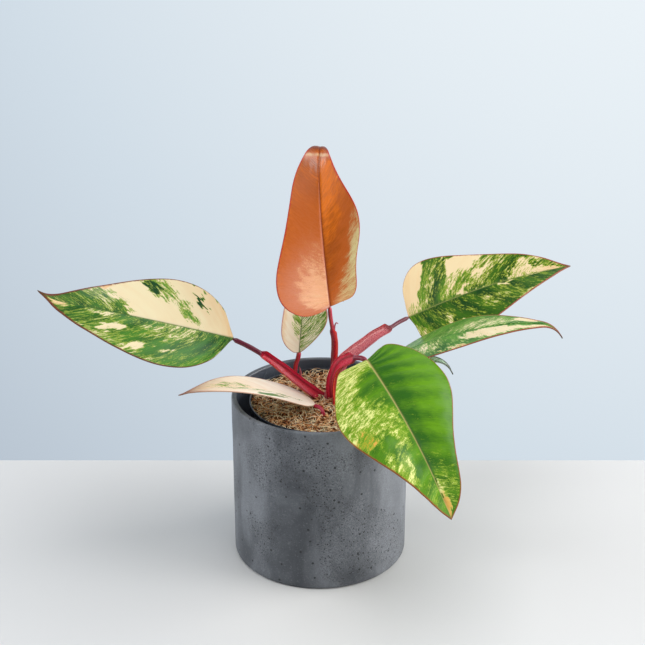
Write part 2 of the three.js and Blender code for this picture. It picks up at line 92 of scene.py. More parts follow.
LEAVES = {
    "left": Leaf(
        [-72, 1.5, 197], 181, 14.5, 6, 1.3, -6.5, -25, -3, 168, -30, .85, 1.09,
        [Half(47, 7, -.5, 0, .13, -.2, .08, .54), Half(44, 5, -4, 0, .12, 0, -.08, -.02)]),
    "low": Leaf(
        [-4, -12, 141.5], 193, 27, 39, 1.65, 7, 4.5, 1.5, 121, 0, .8, 1.04,
        [Half(26.8, 5, 3.5, 0, .17, -.16, -.06, .2), Half(27, 4, -.3, 0, .115, .9, .08, -.09)]),
    "top": Leaf(
        [8.5, .5, 226], 108, 66.5, 24.5, 1.26, -23, 13.5, -11, 157.5, 100, .82, 1.02,
        [Half(43.5, 5, -3.5, 0, -.04, .4, .17, .59), Half(30.5, 8, 9.5, 0, .08, .23, .11, .63, 3)],
        flat_from=.68),
    "back": Leaf(
        [-18, 35.5, 169], 84.5, 48.5, 9.7, 1.3, -.9, -1.9, 2.8, 82, 0, .8, .96,
        [Half(18.5, 21, -1, 0, .115, 1.15, .075, -.19), Half(21.5, 21.3, -2.2, 0, .17, .6, .18, .47)]),
    "right": Leaf(
        [79, 80, 183.5], 13.5, 20, 14.5, 1.47, -4.5, 31, -16.5, 155, 0, .8, .82,
        [Half(46.5, 5.5, -1, 0, .09, .29, -.11, .1), Half(47, 10, 2.5, 0, .02, -.11, .04, .31)]),
    "middle": Leaf(
        [71.5, 26, 173.5], -16, 29.5, 36.5, 1.46, 5.5, .5, 2.5, 145.5, 60, .85, 1.17,
        [Half(36, -5.5, 2.5, 0, .03, 1.13, .06, .22), Half(36, 0, 1.5, 0, -.03, 1, .05, .19)]),
    "front": Leaf(
        [38, -43, 197.5], -63.5, -18.5, 10.5, 1.25, -7.5, 5, -11, 164.5, 0, .8, .63,
        [Half(52, -1, 11, -.0065, -.11, .52, .17, .35), Half(50, 5.5, 16, -.0062, .08, -.09, .14, 1.16)]),
    "small": Leaf(
        [62.5, 15, 156], 3, 32, 36.5, 1.12, -10, 6.5, -9.5, 59.5, 70, .6, 1.16,
        [Half(11, 19.5, -2, 0, 0, 1, 0, 0), Half(11.5, 22.5, 0, 0, 0, 1, 0, 0)]),
}

# Leaf stalks: path from the foot to the blade, which way the channel opens, the share that is
# sheath, the sheath's half width, depth, hollow and rims, how much it slims towards its end, and
# the radius of the free part

Stalk = namedtuple("Stalk", "path opens sheath half depth hollow rims slim radius")
STALKS = {
    "left": Stalk(
        [[8, 5, 135.5], [2, 5, 139.5], [-17, 4.5, 155.2], [-40, 3.5, 175.5], [-55, 3, 186],
         [-62, 2.3, 190.6]],
        [.2, -.8, 1], .72, 4.8, 4.8, 1.6, 2, .5, 2.1),
    "low": Stalk(
        [[4, -23, 122], [3.8, -22, 131.7], [3.2, -20.5, 136.6], [1.8, -18, 139.4], [-.7, -15, 141]],
        [0, .3, 1], .3, 2.7, 2.5, .8, .8, .3, 1.8),
    "top": Stalk(
        [[12, 6, 143], [12, 5, 161.5], [12.5, 4, 178], [12.7, 3, 194.5], [10.6, 2, 205.5], [8.8, 1, 217.5]],
        [.9, .4, 0], .74, 3.5, 3.5, 1.2, 1.4, .3, 1.7),
    "back": Stalk(
        [[-22, 44, 122], [-22, 42, 140], [-21, 39, 156.5], [-19, 37, 163]],
        [1, 0, .2], .52, 3, 2.8, .8, .9, .4, 2),
    "right": Stalk(
        [[15, 9, 131], [15, 12, 145], [16, 16, 156], [19, 23, 163.5], [27.5, 33, 169], [37.5, 43, 172.5],
         [50, 55, 177], [62.5, 66, 179.5], [70, 73, 181.5]],
        [-.3, -1, .9], .8, 6, 4, 1.8, 2.2, .35, 1.8),
    "middle": Stalk(
        [[17, 7, 131], [23, 8.5, 142.5], [33, 12, 153], [48, 18, 162], [61, 23, 169]],
        [0, -.3, 1], .7, 3.4, 3.2, 1.4, 1.4, .4, 1.8),
    "front": Stalk(
        [[11.5, 2, 131], [10, -3, 143], [9.6, -7, 158], [11.5, -12, 171], [15, -19, 181.6],
         [21.4, -28, 190.2], [27.7, -35, 195.6], [33.3, -39, 197.4]],
        [-.8, -.6, .6], .84, 5.6, 4.6, 1.8, 2, .15, 2.1),
    "small": Stalk(
        [[16, 3, 131], [23, .5, 139.5], [36, 4, 147], [50, 10, 153]],
        [0, -.3, 1], .6, 2.3, 2.2, .9, .8, .4, 1.4),
}
SHEATH_END = .05
STALK_STEPS = 110
STALK_SIDES = 56

# How dark the free part of each stalk is
DUSK = dict(left=.9, low=.3, top=.3, back=.1, right=.8, middle=.6, front=.7, small=.6)

# Round pieces that taper to a tip: the curled sheath tips of two stalks, and the stem's bud
TIPS = {
    "top": dict(path=[[12, 2.6, 203], [12.6, 1.4, 209], [13.8, .9, 211.5], [15.2, .7, 210.6]],
                radius=.9, tip=.45),
    "back": dict(path=[[-17.4, 42, 140.4], [-17.2, 41.6, 144.9], [-17.3, 41, 149.1], [-18, 40.4, 152.7]],
                 radius=1.9, tip=.35),
}
BUD = dict(path=[[8, 4, 136], [5.2, 2.4, 140], [4.6, 1.8, 144], [4.8, 1.6, 148]], radius=1.9, tip=.5)

# The stem: its upright axis, and rows of radius and height
STEM_AXIS = [12, 6]
STEM = np.array([[4.5, 112], [6.5, 118], [5.8, 124], [7, 129], [6.3, 134], [6.8, 139], [5.2, 143],
                 [3, 145.5]])
STEM_STEPS = 60
STEM_SIDES = 48

# Small helpers


def smooth(low, high, value):
    """Goes from 0 at low to 1 at high, flat at both ends: 3 t squared less 2 t cubed."""
    t = np.clip((value - low) / (high - low), 0, 1)
    return t * t * (3 - 2 * t)


def within(value, start, stop):
    """1 from start to stop, going smoothly down to 0 where value is 0 and where it is 1"""
    return smooth(0, start, value) * (1 - smooth(stop, 1, value))


def bell(value):
    """1 where value is 0, falling off to both sides: e to the power of minus its square"""
    return np.exp(-value ** 2)


def srgb(code):
    """A display colour of six hexadecimal digits, as linear light with full opacity."""
    value = np.array([int(code[k:k + 2], 16) for k in (0, 2, 4)]) / 255
    linear = np.where(value <= .04045, value / 12.92, ((value + .055) / 1.055) ** 2.4)
    return (*linear.tolist(), 1.0)


def waves(points, wavelength, seed, count=6):
    """Smooth noise, mostly from -1 to 1: 1.6 times the mean of sine waves that run in seeded
    random directions, each with 0.7 to 1.35 times the given wavelength."""
    rng = np.random.default_rng(seed)
    direction = rng.normal(size=(count, points.shape[-1]))
    direction /= np.linalg.norm(direction, axis=1, keepdims=True)
    rate = TURN / (wavelength * rng.uniform(.7, 1.35, count))
    phase = rng.uniform(0, TURN, count)
    return np.sin((points @ direction.T) * rate + phase).mean(-1) * 1.6


def unit(vectors):
    return vectors / np.maximum(np.linalg.norm(vectors, axis=-1, keepdims=True), 1e-12)


def new_object(name, data):
    """An object of the given mesh, light or camera, in the scene"""
    made = bpy.data.objects.new(name, data)
    bpy.context.scene.collection.objects.link(made)
    return made


# Meshes


def piece(name, points, faces, material, nodes=(), values=None, sleek=True):
    """A mesh object of points in millimetres. faces is a list of index arrays with 3 or 4
    columns, and values holds one array of numbers or vectors per point for each attribute."""
    mesh = bpy.data.meshes.new(name)
    flat = np.concatenate([f.ravel() for f in faces]).astype(np.int32)
    sizes = np.concatenate([np.full(len(f), f.shape[1]) for f in faces]).astype(np.int32)
    starts = np.concatenate([[0], np.cumsum(sizes)[:-1]]).astype(np.int32)
    mesh.vertices.add(len(points))
    mesh.vertices.foreach_set("co", (points * MM).astype(np.float32).ravel())
    mesh.loops.add(len(flat))
    mesh.loops.foreach_set("vertex_index", flat)
    mesh.polygons.add(len(sizes))
    mesh.polygons.foreach_set("loop_start", starts)
    mesh.polygons.foreach_set("loop_total", sizes)
    mesh.polygons.foreach_set("use_smooth", np.full(len(sizes), sleek))
    for key, value in (values or {}).items():
        vector = value.ndim == 2
        attribute = mesh.attributes.new(key, "FLOAT_VECTOR" if vector else "FLOAT", "POINT")
        attribute.data.foreach_set("vector" if vector else "value", value.astype(np.float32).ravel())
    mesh.update(calc_edges=True)
    mesh.validate()
    mesh.materials.append(material)
    made = new_object(name, mesh)
    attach(made, "root")
    if nodes:
        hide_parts(*nodes)
    return made


def ring_faces(rows, sides):
    """Quads between rings of points in row order, the last point of a ring joined to its first"""
    i, j = np.meshgrid(np.arange(rows - 1) * sides, np.arange(sides), indexing="ij")
    following = (j + 1) % sides
    return np.stack([i + j, i + following, i + sides + following, i + sides + j], -1).reshape(-1, 4)


def fan_faces(centre, ring):
    """Triangles from a centre point to a closed ring of points."""
    return np.stack([np.full(len(ring), centre), ring, np.roll(ring, -1)], -1)


def turned_points(profile, sides, axis=(0, 0)):
    """A profile of radius and height turned about an upright line, one row of points for each
    profile point."""
    angle = np.arange(sides) * TURN / sides
    ring = np.stack([np.cos(angle), np.sin(angle)], -1)
    flat = profile[:, None, :1] * ring[None] + axis
    high = np.broadcast_to(profile[:, None, 1:], (len(profile), sides, 1))
    return np.concatenate([flat, high], -1)


def closed_tube(rows, centres=None):
    """Points and faces of rings of points, one ring a row, with a fan over each end. The fans
    meet in the centres, or else in the middles of the end rings."""
    count, sides = rows.shape[:2]
    ring = np.arange(sides)
    points = np.concatenate([rows.reshape(-1, 3), centres or rows[[0, -1]].mean(1)])
    foot = fan_faces(count * sides, ring)[:, ::-1]
    tip = fan_faces(count * sides + 1, ring + (count - 1) * sides)
    return points, [ring_faces(count, sides), foot, tip]


def turned_over(faces):
    """The same faces facing the other way"""
    return [part[:, ::-1] for part in faces]


def repeated(faces, count, block):
    """The faces of one block of points, for count blocks in a row"""
    return (faces[None] + (np.arange(count) * block)[:, None, None]).reshape(-1, faces.shape[1])


def joined(*parts):
    """Meshes put together as one, each of points, faces and values of the same attributes"""
    starts = np.cumsum([0, *[len(points) for points, _, _ in parts]])
    faces = [f + start for (_, own, _), start in zip(parts, starts) for f in own]
    values = {key: np.concatenate([own[key] for _, _, own in parts]) for key in parts[0][2]}
    return np.concatenate([points for points, _, _ in parts]), faces, values


def arc(x, z, radius, start, turn=90, steps=8):
    """Points of a round corner of a profile: centre, radius, first angle and how far it turns."""
    angle = np.radians(start + np.linspace(0, turn, steps + 1))
    return np.stack([x + radius * np.cos(angle), z + radius * np.sin(angle)], -1)


def straight(first, last, steps):
    """Points on a straight line between two profile points, ends left out."""
    share = np.linspace(0, 1, steps + 2)[1:-1, None]
    return np.array(first) * (1 - share) + np.array(last) * share


# Materials


class Paint:
    """A material, or the world, whose shader nodes are made by short calls. Each call gives a
    socket, and any input takes a socket, a plain value or a colour's six hexadecimal digits."""

    def __init__(self, name, world=False):
        self.made = (bpy.data.worlds if world else bpy.data.materials).new(name)
        self.made.use_nodes = True
        self.tree = self.made.node_tree
        self.shader = self.tree.nodes["Background" if world else "Principled BSDF"]

    def feed(self, socket, value):
        if isinstance(value, bpy.types.NodeSocket):
            self.tree.links.new(value, socket)
        else:
            socket.default_value = srgb(value) if isinstance(value, str) else value

    def node(self, kind, inputs, **settings):
        made = self.tree.nodes.new("ShaderNode" + kind)
        for key, value in settings.items():
            setattr(made, key, value)
        for key, value in inputs.items():
            self.feed(made.inputs[key], value)
        return made

    def place(self, output="Object"):
        return self.node("TexCoord", {}).outputs[output]

    def attribute(self, name, output="Fac"):
        return self.node("Attribute", {}, attribute_name=name).outputs[output]

    def scaled(self, vector, x, y, z):
        return self.node("VectorMath", {0: vector, 1: (x, y, z)}, operation="MULTIPLY").outputs[0]

    def noise(self, vector, scale, detail=3, rough=.5, warp=0):
        return self.node("TexNoise", {"Vector": vector, "Scale": scale, "Detail": detail,
                                      "Roughness": rough, "Distortion": warp}).outputs["Fac"]

    def streaks(self, spot, x, y, *settings):
        """Noise with the rates x and y along the spot's first two directions"""
        return self.noise(self.scaled(spot, x, y, 1), 1, *settings)

    def cells(self, vector, scale, output="Distance"):
        return self.node("TexVoronoi", {"Vector": vector, "Scale": scale}).outputs[output]

    def math(self, operation, first, second=0.0, third=0.0, clamp=False):
        return self.node("Math", {0: first, 1: second, 2: third},
                         operation=operation, use_clamp=clamp).outputs[0]

    def times(self, first, second):
        return self.math("MULTIPLY", first, second)

    def plus(self, value, *parts):
        """value and each of the parts times its weight, added up"""
        for part, weight in parts:
            value = self.math("MULTIPLY_ADD", part, weight, value)
        return value

    def moved(self, value, noise, reach, clamp=False):
        """value plus reach times noise less one half, so that noise moves it both up and down"""
        return self.math("MULTIPLY_ADD", self.math("SUBTRACT", noise, .5), reach, value, clamp)

    def span(self, value, low, high, to_low=0.0, to_high=1.0):
        """value from low to high, smoothly onto to_low to to_high, held at both ends"""
        return self.node("MapRange", {"Value": value, "From Min": low, "From Max": high, "To Min": to_low,
                                      "To Max": to_high}, interpolation_type="SMOOTHSTEP").outputs["Result"]

    def mix(self, share, first, second):
        return self.node("Mix", {0: share, 6: first, 7: second}, data_type="RGBA").outputs[2]

    def ramp(self, value, *stops):
        """Colour along value, from pairs of place and colour"""
        made = self.node("ValToRGB", {"Fac": value})
        band = made.color_ramp.elements
        while len(band) < len(stops):
            band.new(.5)
        for element, (place, colour) in zip(band, stops):
            element.position, element.color = place, srgb(colour)
        return made.outputs["Color"]

    def bump(self, height, distance, strength):
        return self.node("Bump", {"Height": height, "Distance": distance * MM,
                                  "Strength": strength}).outputs["Normal"]

    def finish(self, **sockets):
        """Sets the shader's sockets, with spaces in their names written as underscores"""
        for key, value in sockets.items():
            self.feed(self.shader.inputs[key.replace("_", " ")], value)
        return self.made


def concrete():
    """Matt dark grey: soft cloudy patches, fine grain, and pinholes, each a dark pit of painted shade in
    one of the cells that a random number picks. The inside has a dark sealing coat."""
    p = Paint("concrete")
    place, sealed = p.place(), p.attribute("sealed")
    cloud = p.noise(p.scaled(place, 1, 1, .45), 26, 4, .6, .4)
    grain = p.noise(place, 1000, 2, .7)
    speck = p.noise(place, 560, 2, .6)
    patchy = p.span(p.noise(place, 17, 2), .44, .58)
    colour = p.ramp(p.span(cloud, .3, .72), (0, "464a50"), (1, "80848a"))
    colour = p.mix(p.times(p.span(grain, .4, .62), p.span(patchy, 0, 1, .25, .6)), colour, "34363a")
    colour = p.mix(p.span(speck, .56, .7, 0, .18), colour, "9ea1a5")
    pits = []
    for scale, size, rare in ((150, .2, .66), (430, .34, .6)):
        depth = p.span(p.cells(place, scale), size * .6, size, 1, 0)
        chosen = p.span(p.cells(place, scale, "Color"), rare, rare + .01)
        pits.append(p.times(depth, chosen))
    pit = p.math("MAXIMUM", pits[0], p.times(pits[1], patchy))
    # The pits' dark colour paints the shade inside each pinhole.
    colour = p.mix(p.times(pit, .85), colour, "18191b")
    colour = p.mix(p.times(sealed, .9), colour, "5c6470")
    height = p.math("SUBTRACT", p.times(grain, .35), pit)
    return p.finish(Base_Color=colour, Roughness=p.plus(p.span(cloud, .3, .7, .52, .66), (sealed, -.3)),
                    Specular_IOR_Level=.55, Normal=p.bump(height, .35, .8))


def plastic():
    """Dark moulded plastic: nearly black blue-grey, glossy, with faint scuffs and dust"""
    p = Paint("plastic")
    place = p.place()
    dust = p.noise(place, 60, 4, .7)
    scuff = p.noise(p.scaled(place, 1, 1, 9), 220, 2, .5)
    colour = p.ramp(p.span(dust, .45, .8), (0, "282d35"), (1, "545b64"))
    rough = p.span(p.math("ADD", dust, scuff), .8, 1.3, .16, .42)
    return p.finish(Base_Color=colour, Roughness=rough, Normal=p.bump(p.noise(place, 130, 2), .5, .7))


def coir_bed():
    """Dark fibre under the loose strands, darkened as painted shade in the gaps between them"""
    p = Paint("coir_bed")
    crumb = p.noise(p.place(), 380, 4, .7)
    # The dark end of this ramp paints the shade in the gaps between the strands.
    colour = p.ramp(crumb, (.36, "221009"), (.5, "683c22"), (.64, "c8925e"))
    return p.finish(Base_Color=colour, Roughness=.95, Specular_IOR_Level=.15, Normal=p.bump(crumb, 1.4, 1))


def coir_strand():
    """Coir strands and chips, each of its own shade from dark brown to straw"""
    p = Paint("coir_strand")
    shade = p.moved(p.attribute("shade"), p.noise(p.place(), 900, 2, .6), .35, clamp=True)
    colour = p.ramp(shade, (0, "280e07"), (.3, "96502a"), (.6, "f8b87a"),
                    (1, "fff0c8"))
    return p.finish(Base_Color=colour, Roughness=.8, Specular_IOR_Level=.2)


def stalk_skin():
    """Satin red skin. around runs from the keel at 0 over the rims at .62 to the bottom of the
    channel at 1. The keel's maroon paints the shade on the underside, and the flanks are
    orange-red. Each rim has a pale painted highlight with a dark line of painted crease shade
    beside it, and the channel is magenta, or mauve where pale says so. dusk turns the free part
    dark purple, and the foot of each stalk is darkened as painted shade among the crowded stalks."""
    p = Paint("stalk_skin")
    spot = p.attribute("spot", "Vector")
    streak = p.streaks(spot, 1.3, .09, 3, .6)
    mottle = p.streaks(spot, 1.1, .55, 3, .65)
    around = p.moved(p.attribute("around"), streak, .1, clamp=True)
    # Painted light in the ramp: the maroon from 0 to .2 is painted shade on the underside, the dark stop at
    # .58 is painted shade in the crease beside each rim, and the pale stop at .62 is a painted highlight on
    # the rim.
    colour = p.ramp(
        around, (0, "680a1a"), (.2, "920e20"), (.34, "cc1a2a"),
        (.46, "ec5238"), (.54, "ce182c"), (.58, "60061c"), (.62, "f08c96"),
        (.67, "d61e46"), (.82, "e83058"), (.92, "960a2c"), (1, "ce223c"))
    mauve = p.ramp(mottle, (.3, "9e323e"), (.5, "c4646a"), (.7, "de9290"))
    colour = p.mix(p.times(p.attribute("pale"), p.span(around, .65, .7)), colour, mauve)
    colour = p.mix(p.span(mottle, .55, .75, 0, .3), colour, "f0545c")
    colour = p.mix(p.span(mottle, .25, .42, .3, 0), colour, "680822")
    colour = p.mix(p.attribute("dusk"), colour, "4c122a")
    # Painted shade: the foot of each stalk darkens where the stalks crowd together at the crown.
    colour = p.mix(p.span(p.attribute("lengthwise"), 0, .12, .6, 0), colour, "4a0c16")
    height = p.plus(0, (streak, .7), (mottle, .3))
    return p.finish(Base_Color=colour, Roughness=p.span(mottle, .3, .7, .24, .38), Specular_IOR_Level=.35,
                    Coat_Weight=.2, Coat_Roughness=.12, Normal=p.bump(height, .35, .6))


# Leaf colours: the dark and the fresh green, the colour between green and cream, the cream and
# its warm blush, the margin, the midrib and the tip

SHADES = "dark fresh between cream warm margin midrib tip".split()
PALETTES = {
    "left": "084010 4e8628 92a63c ecdcb2 e6ba84 6e2822 4a6828 501c18",
    "low": "286018 6e9632 b4b86e fdf3e0 e8c49c d6a086 cec896 70281e",
    "top": "6a2e08 e4740e b05822 ce8e5e ccc08a b03024 702414 62240e",
    "back": "1e5404 7ca828 b8c860 f8ead0 e6ba84 c48278 3c5a14 501c18",
    "right": "0e3e00 548604 96a630 ecd6a8 e6ba84 9c4a3e 969654 501c18",
    "middle": "1a5c0e 649c32 8cae50 ecdcb2 e6ba84 a03c32 3c6c28 501c18",
    "front": "265a00 5a8c00 84a028 dee08c ce840a 8e4222 baa668 5a2212",
    # The small leaf's greens are paler than its own, to paint the light that comes through it in the shade
    # where it hangs.
    "small": "b0d0be dcece2 92a63c ecdcb2 e6ba84 5a6054 789678 2c2426",
}


def leaf_skin(name, look):
    """Satin leaf skin. At each point a streaky noise, drawn out along the side veins, is set
    against the point's share of cream: where the share wins the leaf is cream, where it loses it
    is green, and a thin band between them is yellow-green. The green is lightened and darkened
    with the swell between the side veins as painted light and shade of that relief."""
    p = Paint("leaf_" + name)
    colours = dict(zip(SHADES, PALETTES[name].split()))
    spot = p.attribute("spot", "Vector")
    rib_relief_and_shade, sheen = p.attribute("rib_relief_and_shade"), p.attribute("sheen")
    broad = p.streaks(spot, .16, .05, 2, .5, .3)
    streak = p.streaks(spot, .7, .17, 3, .6, .35)
    fleck = p.streaks(spot, 2.1, .8, 3, .7, .2)
    mixed = p.plus(0, (fleck, .35), (streak, .45), (broad, .2))
    rank = p.span(mixed, .34, .66, .5 - look.ragged / 2, .5 + look.ragged / 2)
    # share also carries the bands of painted highlight and painted shade across a fold.
    lead = p.math("SUBTRACT", p.attribute("share"), rank)
    tone = p.moved(p.attribute("tone"), streak, .9)
    tone = p.moved(tone, p.streaks(spot, 1.9, .12, 2, .6), .7)
    # Painted light and shade of the vein relief: the green tone goes up and down with the swell between the
    # side veins, as strongly as ribs says.
    tone = p.math("MULTIPLY_ADD", rib_relief_and_shade, look.ribs * .5, tone, clamp=True)
    green = p.mix(tone, colours["dark"], colours["fresh"])
    cream = p.mix(p.moved(p.attribute("warm"), broad, .6, clamp=True), colours["cream"], colours["warm"])
    body = p.mix(p.span(lead, -.2 * look.blend, -.06), green, colours["between"])
    body = p.mix(p.span(lead, -.04, .1 * look.blend), body, cream)
    rim = p.span(p.moved(p.attribute("edge"), streak, 1.6), .35, 1.1, .9, 0)
    body = p.mix(rim, body, colours["margin"])
    body = p.mix(p.attribute("rib_line"), body, colours["midrib"])
    body = p.mix(p.attribute("browned"), body, colours["tip"])
    body = p.mix(p.attribute("under"), body, p.mix(.35, body, "96a078"))
    fine = p.streaks(spot, 2.4, .35, 2, .5)
    height = p.plus(0, (fine, .35), (rib_relief_and_shade, .5), (p.noise(p.place(), 1400, 1), .12))
    return p.finish(Base_Color=body, Roughness=p.span(streak, .3, .7, look.gloss, look.gloss + .12),
                    Specular_IOR_Level=p.math("MULTIPLY_ADD", sheen, .6, .09),
                    Coat_Weight=p.times(sheen, .6), Coat_Roughness=.22, Normal=p.bump(height, .3, .6))


# Pots


def cachepot_piece():
    """The wall's profile turned about Z, with a slow waviness of a tenth of a millimetre on it as
    a cast wall has."""
    c = CACHEPOT
    bore, brim = c.radius - c.wall, c.height - c.rim
    profile = np.concatenate([
        straight([0, 0], [c.radius - c.foot, 0], 6),
        arc(c.radius - c.foot, c.foot, c.foot, -90),
        straight([c.radius, c.foot], [c.radius, brim], 46),
        arc(c.radius - c.rim, brim, c.rim, 0),
        arc(bore + c.rim, brim, c.rim, 90),
        straight([bore, brim], [bore, c.floor + c.corner], 30),
        arc(bore - c.corner, c.floor + c.corner, c.corner, 0, -90),
        straight([bore - c.corner, c.floor], [0, c.floor], 5),
    ])
    radius, height = profile.T
    rows = turned_points(profile, c.sides)
    swell = .12 * waves(rows, 34, 3)[..., None] * smooth(4, 12, rows[..., 2:])
    points, faces = closed_tube(rows + unit(rows * [1, 1, 0]) * swell, [[0, 0, 0], [0, 0, c.floor]])
    sealed = np.repeat(smooth(-.5, -1.5, radius - bore - c.rim) * (height > c.floor - 1), c.sides)
    piece("concrete_cachepot", points, faces, concrete(), ["cachepot"],
          {"sealed": np.append(sealed, [0, 1])})


def nursery_radius(z):
    n = NURSERY
    return n.foot + (n.neck - n.foot) * (z - NURSERY_FOOT) / (n.height - n.lip_height)


def nursery_piece():
    """A tapered shell with a stepped lip, turned about its own upright axis. A ring of cylinders
    is cut out of its floor for the drain holes."""
    n, w, base = NURSERY, NURSERY.wall, NURSERY_FOOT
    top = base + n.height
    step = top - n.lip_height
    profile = np.concatenate([
        straight([0, base], [n.foot - 1, base], 4),
        arc(n.foot - 1, base + 1, 1, -90, 80, 4),
        straight([n.foot, base + 1], [n.neck, step], 24),
        [[n.neck, step - .3], [n.neck + .4, step], [n.lip - .4, step]],
        arc(n.lip - .4, step + .4, .4, -90, 90, 3),
        straight([n.lip, step + .4], [n.lip, top - .6], 6),
        arc(n.lip - .6, top - .6, .6, 0, 180, 8),
        straight([n.lip - w, top - .6], [n.lip - w, step + w], 6),
        [[n.lip - w, step + w], [n.neck - w + .3, step + w], [n.neck - w, step + w - .4]],
        straight([n.neck - w, step + w - .4], [n.foot - w, base + w], 24),
        straight([n.foot - w, base + w], [0, base + w], 3),
    ])
    points, faces = closed_tube(turned_points(profile, n.sides, NURSERY_AXIS),
                                [[*NURSERY_AXIS, base], [*NURSERY_AXIS, base + w]])
    drill(piece("plastic_nursery_pot", points, faces, plastic(), ["nursery_pot"]))


def drill(made):
    """Cuts the drain holes: upright cylinders evenly round a circle in the floor. Corners of the
    cut that nearly meet are then joined."""
    d = DRAINS
    turn = np.arange(d.count) * TURN / d.count
    rod = np.array([[d.radius, NURSERY_FOOT - d.below], [d.radius, NURSERY_FOOT + d.above]])
    axes = NURSERY_AXIS + d.circle * np.stack([np.cos(turn), np.sin(turn)], -1)
    points, faces, _ = joined(*[(*closed_tube(turned_points(rod, d.sides, axis)), {}) for axis in axes])
    cutter = piece("drain_cutter", points, faces, made.data.materials[0])
    cut = made.modifiers.new("drains", "BOOLEAN")
    cut.operation, cut.solver, cut.object = "DIFFERENCE", "EXACT", cutter
    bpy.context.view_layer.update()
    settled = bpy.data.meshes.new_from_object(made.evaluated_get(bpy.context.evaluated_depsgraph_get()))
    made.modifiers.clear()
    weld = bmesh.new()
    weld.from_mesh(settled)
    bmesh.ops.remove_doubles(weld, verts=weld.verts, dist=WELD * MM)
    bmesh.ops.dissolve_degenerate(weld, edges=weld.edges, dist=WELD * MM)
    weld.to_mesh(settled)
    weld.free()
    made.data = settled
    bpy.data.objects.remove(cutter)


# Coir


def mix_height(x, y):
    """Height of the mix: a slow swell with lumps on it, both sine waves of x and y"""
    swell = MIX.swell * np.sin(x / 13 + 1) * np.cos(y / 11)
    return MIX.level + swell + MIX.lumps * np.sin(x / 5.3 + y / 6.1) * np.cos(x / 8.7 - y / 4.9)


def bed_piece():
    """Rings of points over the top, roughened by noise of 2 to 9 mm, then the step under the pot's
    lip, the tapered side and the flat underside"""
    inset = NURSERY.wall + GAP
    neck = NURSERY_FOOT + NURSERY.height - NURSERY.lip_height
    rim, throat = NURSERY.lip - inset, nursery_radius(neck) - inset
    foot = NURSERY_FOOT + inset
    radius = np.linspace(1, rim, MIX.rings)
    top = turned_points(np.stack([radius, radius * 0], -1), MIX.sides, NURSERY_AXIS)
    flat = top[..., :2]
    rough = waves(flat, 9, 11) * .9 + waves(flat, 4, 12) * .9 + waves(flat, 2, 13) * .4
    inner = smooth(rim, rim - 5, radius)[:, None]
    top[..., 2] = mix_height(top[..., 0], top[..., 1]) + rough * (.4 + .6 * inner) - .7
    side = np.array([[rim, neck + inset], [throat, neck + inset], [throat, neck],
                     [nursery_radius(foot) - inset, foot]])
    side = turned_points(side, MIX.sides, NURSERY_AXIS)
    points, faces = closed_tube(np.concatenate([top, side])[::-1])
    piece("coir_mix", points, faces, coir_bed(), ["potting_mix"])


def spots(rng, count, reach):
    """Seeded random spots, evenly spread over a round of the given reach"""
    radius = reach * np.sqrt(rng.uniform(0, 1, count))
    spin = rng.uniform(0, TURN, count)
    return np.stack([radius * np.cos(spin), radius * np.sin(spin)], -1)


def strands_piece(name, count, length, thickness, seed, lift, shade):
    """Loose coir strands. Each runs from a seeded random spot in a seeded random direction, curls
    by a steady amount with a wave on it, rises and sinks once, and has three sides. They lie
    lower round the foot of the low leaf's stalk."""
    rng = np.random.default_rng(seed)
    steps, sides = 7, 3
    rim = NURSERY.lip - NURSERY.wall - .7
    start = spots(rng, count, rim)
    long = rng.uniform(*length, count)[:, None]
    share = np.linspace(-.5, .5, steps)[None]
    curl = rng.normal(0, 1.5, (count, 1))
    heading = rng.uniform(0, TURN, (count, 1)) + curl * share
    heading = heading + rng.normal(0, .5, (count, 1)) * np.sin(9 * share)
    step = long / (steps - 1)
    run = np.stack([np.cos(heading), np.sin(heading)], -1) * step[..., None]
    flat = start[:, None] + np.cumsum(run, 1) - run.sum(1, keepdims=True) / 2
    away = np.linalg.norm(flat, axis=-1, keepdims=True)
    flat = flat * np.minimum(1, rim / np.maximum(away, 1e-6)) + NURSERY_AXIS
    tilt = rng.normal(0, .16, (count, 1)) * long
    height = mix_height(flat[..., 0], flat[..., 1]) + rng.uniform(*lift, (count, 1))
    bare = np.linalg.norm(flat - STALKS["low"].path[1][:2], axis=-1)
    height = height - 2.8 * bell(bare / 5)
    height = height + tilt * share + rng.uniform(0, .12, (count, 1)) * long * np.cos(math.pi * share)
    line = np.concatenate([flat, height[..., None]], -1)
    along = unit(np.gradient(line, axis=1))
    level = unit(np.cross(along, [0, 0, 1.0]))
    upright = np.cross(level, along)
    thick = rng.uniform(*thickness, (count, 1)) * (1 - .55 * (2 * share) ** 2)
    angle = np.arange(sides)[:, None] * TURN / sides
    ring = level[:, :, None] * np.cos(angle) + upright[:, :, None] * np.sin(angle) * .7
    points = line[:, :, None] + ring * thick[..., None, None]
    block = steps * sides
    ends = np.array([[0, 2, 1], [block - 3, block - 2, block - 1]])
    faces = [repeated(part, count, block) for part in (ring_faces(steps, sides), ends)]
    value = np.clip(rng.normal(shade, .36, count), 0, 1)
    piece(name, points.reshape(-1, 3), turned_over(faces), coir_strand_finish, [],
          {"shade": np.repeat(value, block)})


CHIP = np.array([[-1, -.5, -.4], [-1, .4, -.5], [-.9, .5, .5], [-.9, -.4, .5],
                 [0, -1, -.9], [.1, .9, -1], [0, 1, .8], [-.1, -1, 1],
                 [1, -.4, -.5], [.9, .5, -.4], [1, .3, .5], [.9, -.5, .4]])


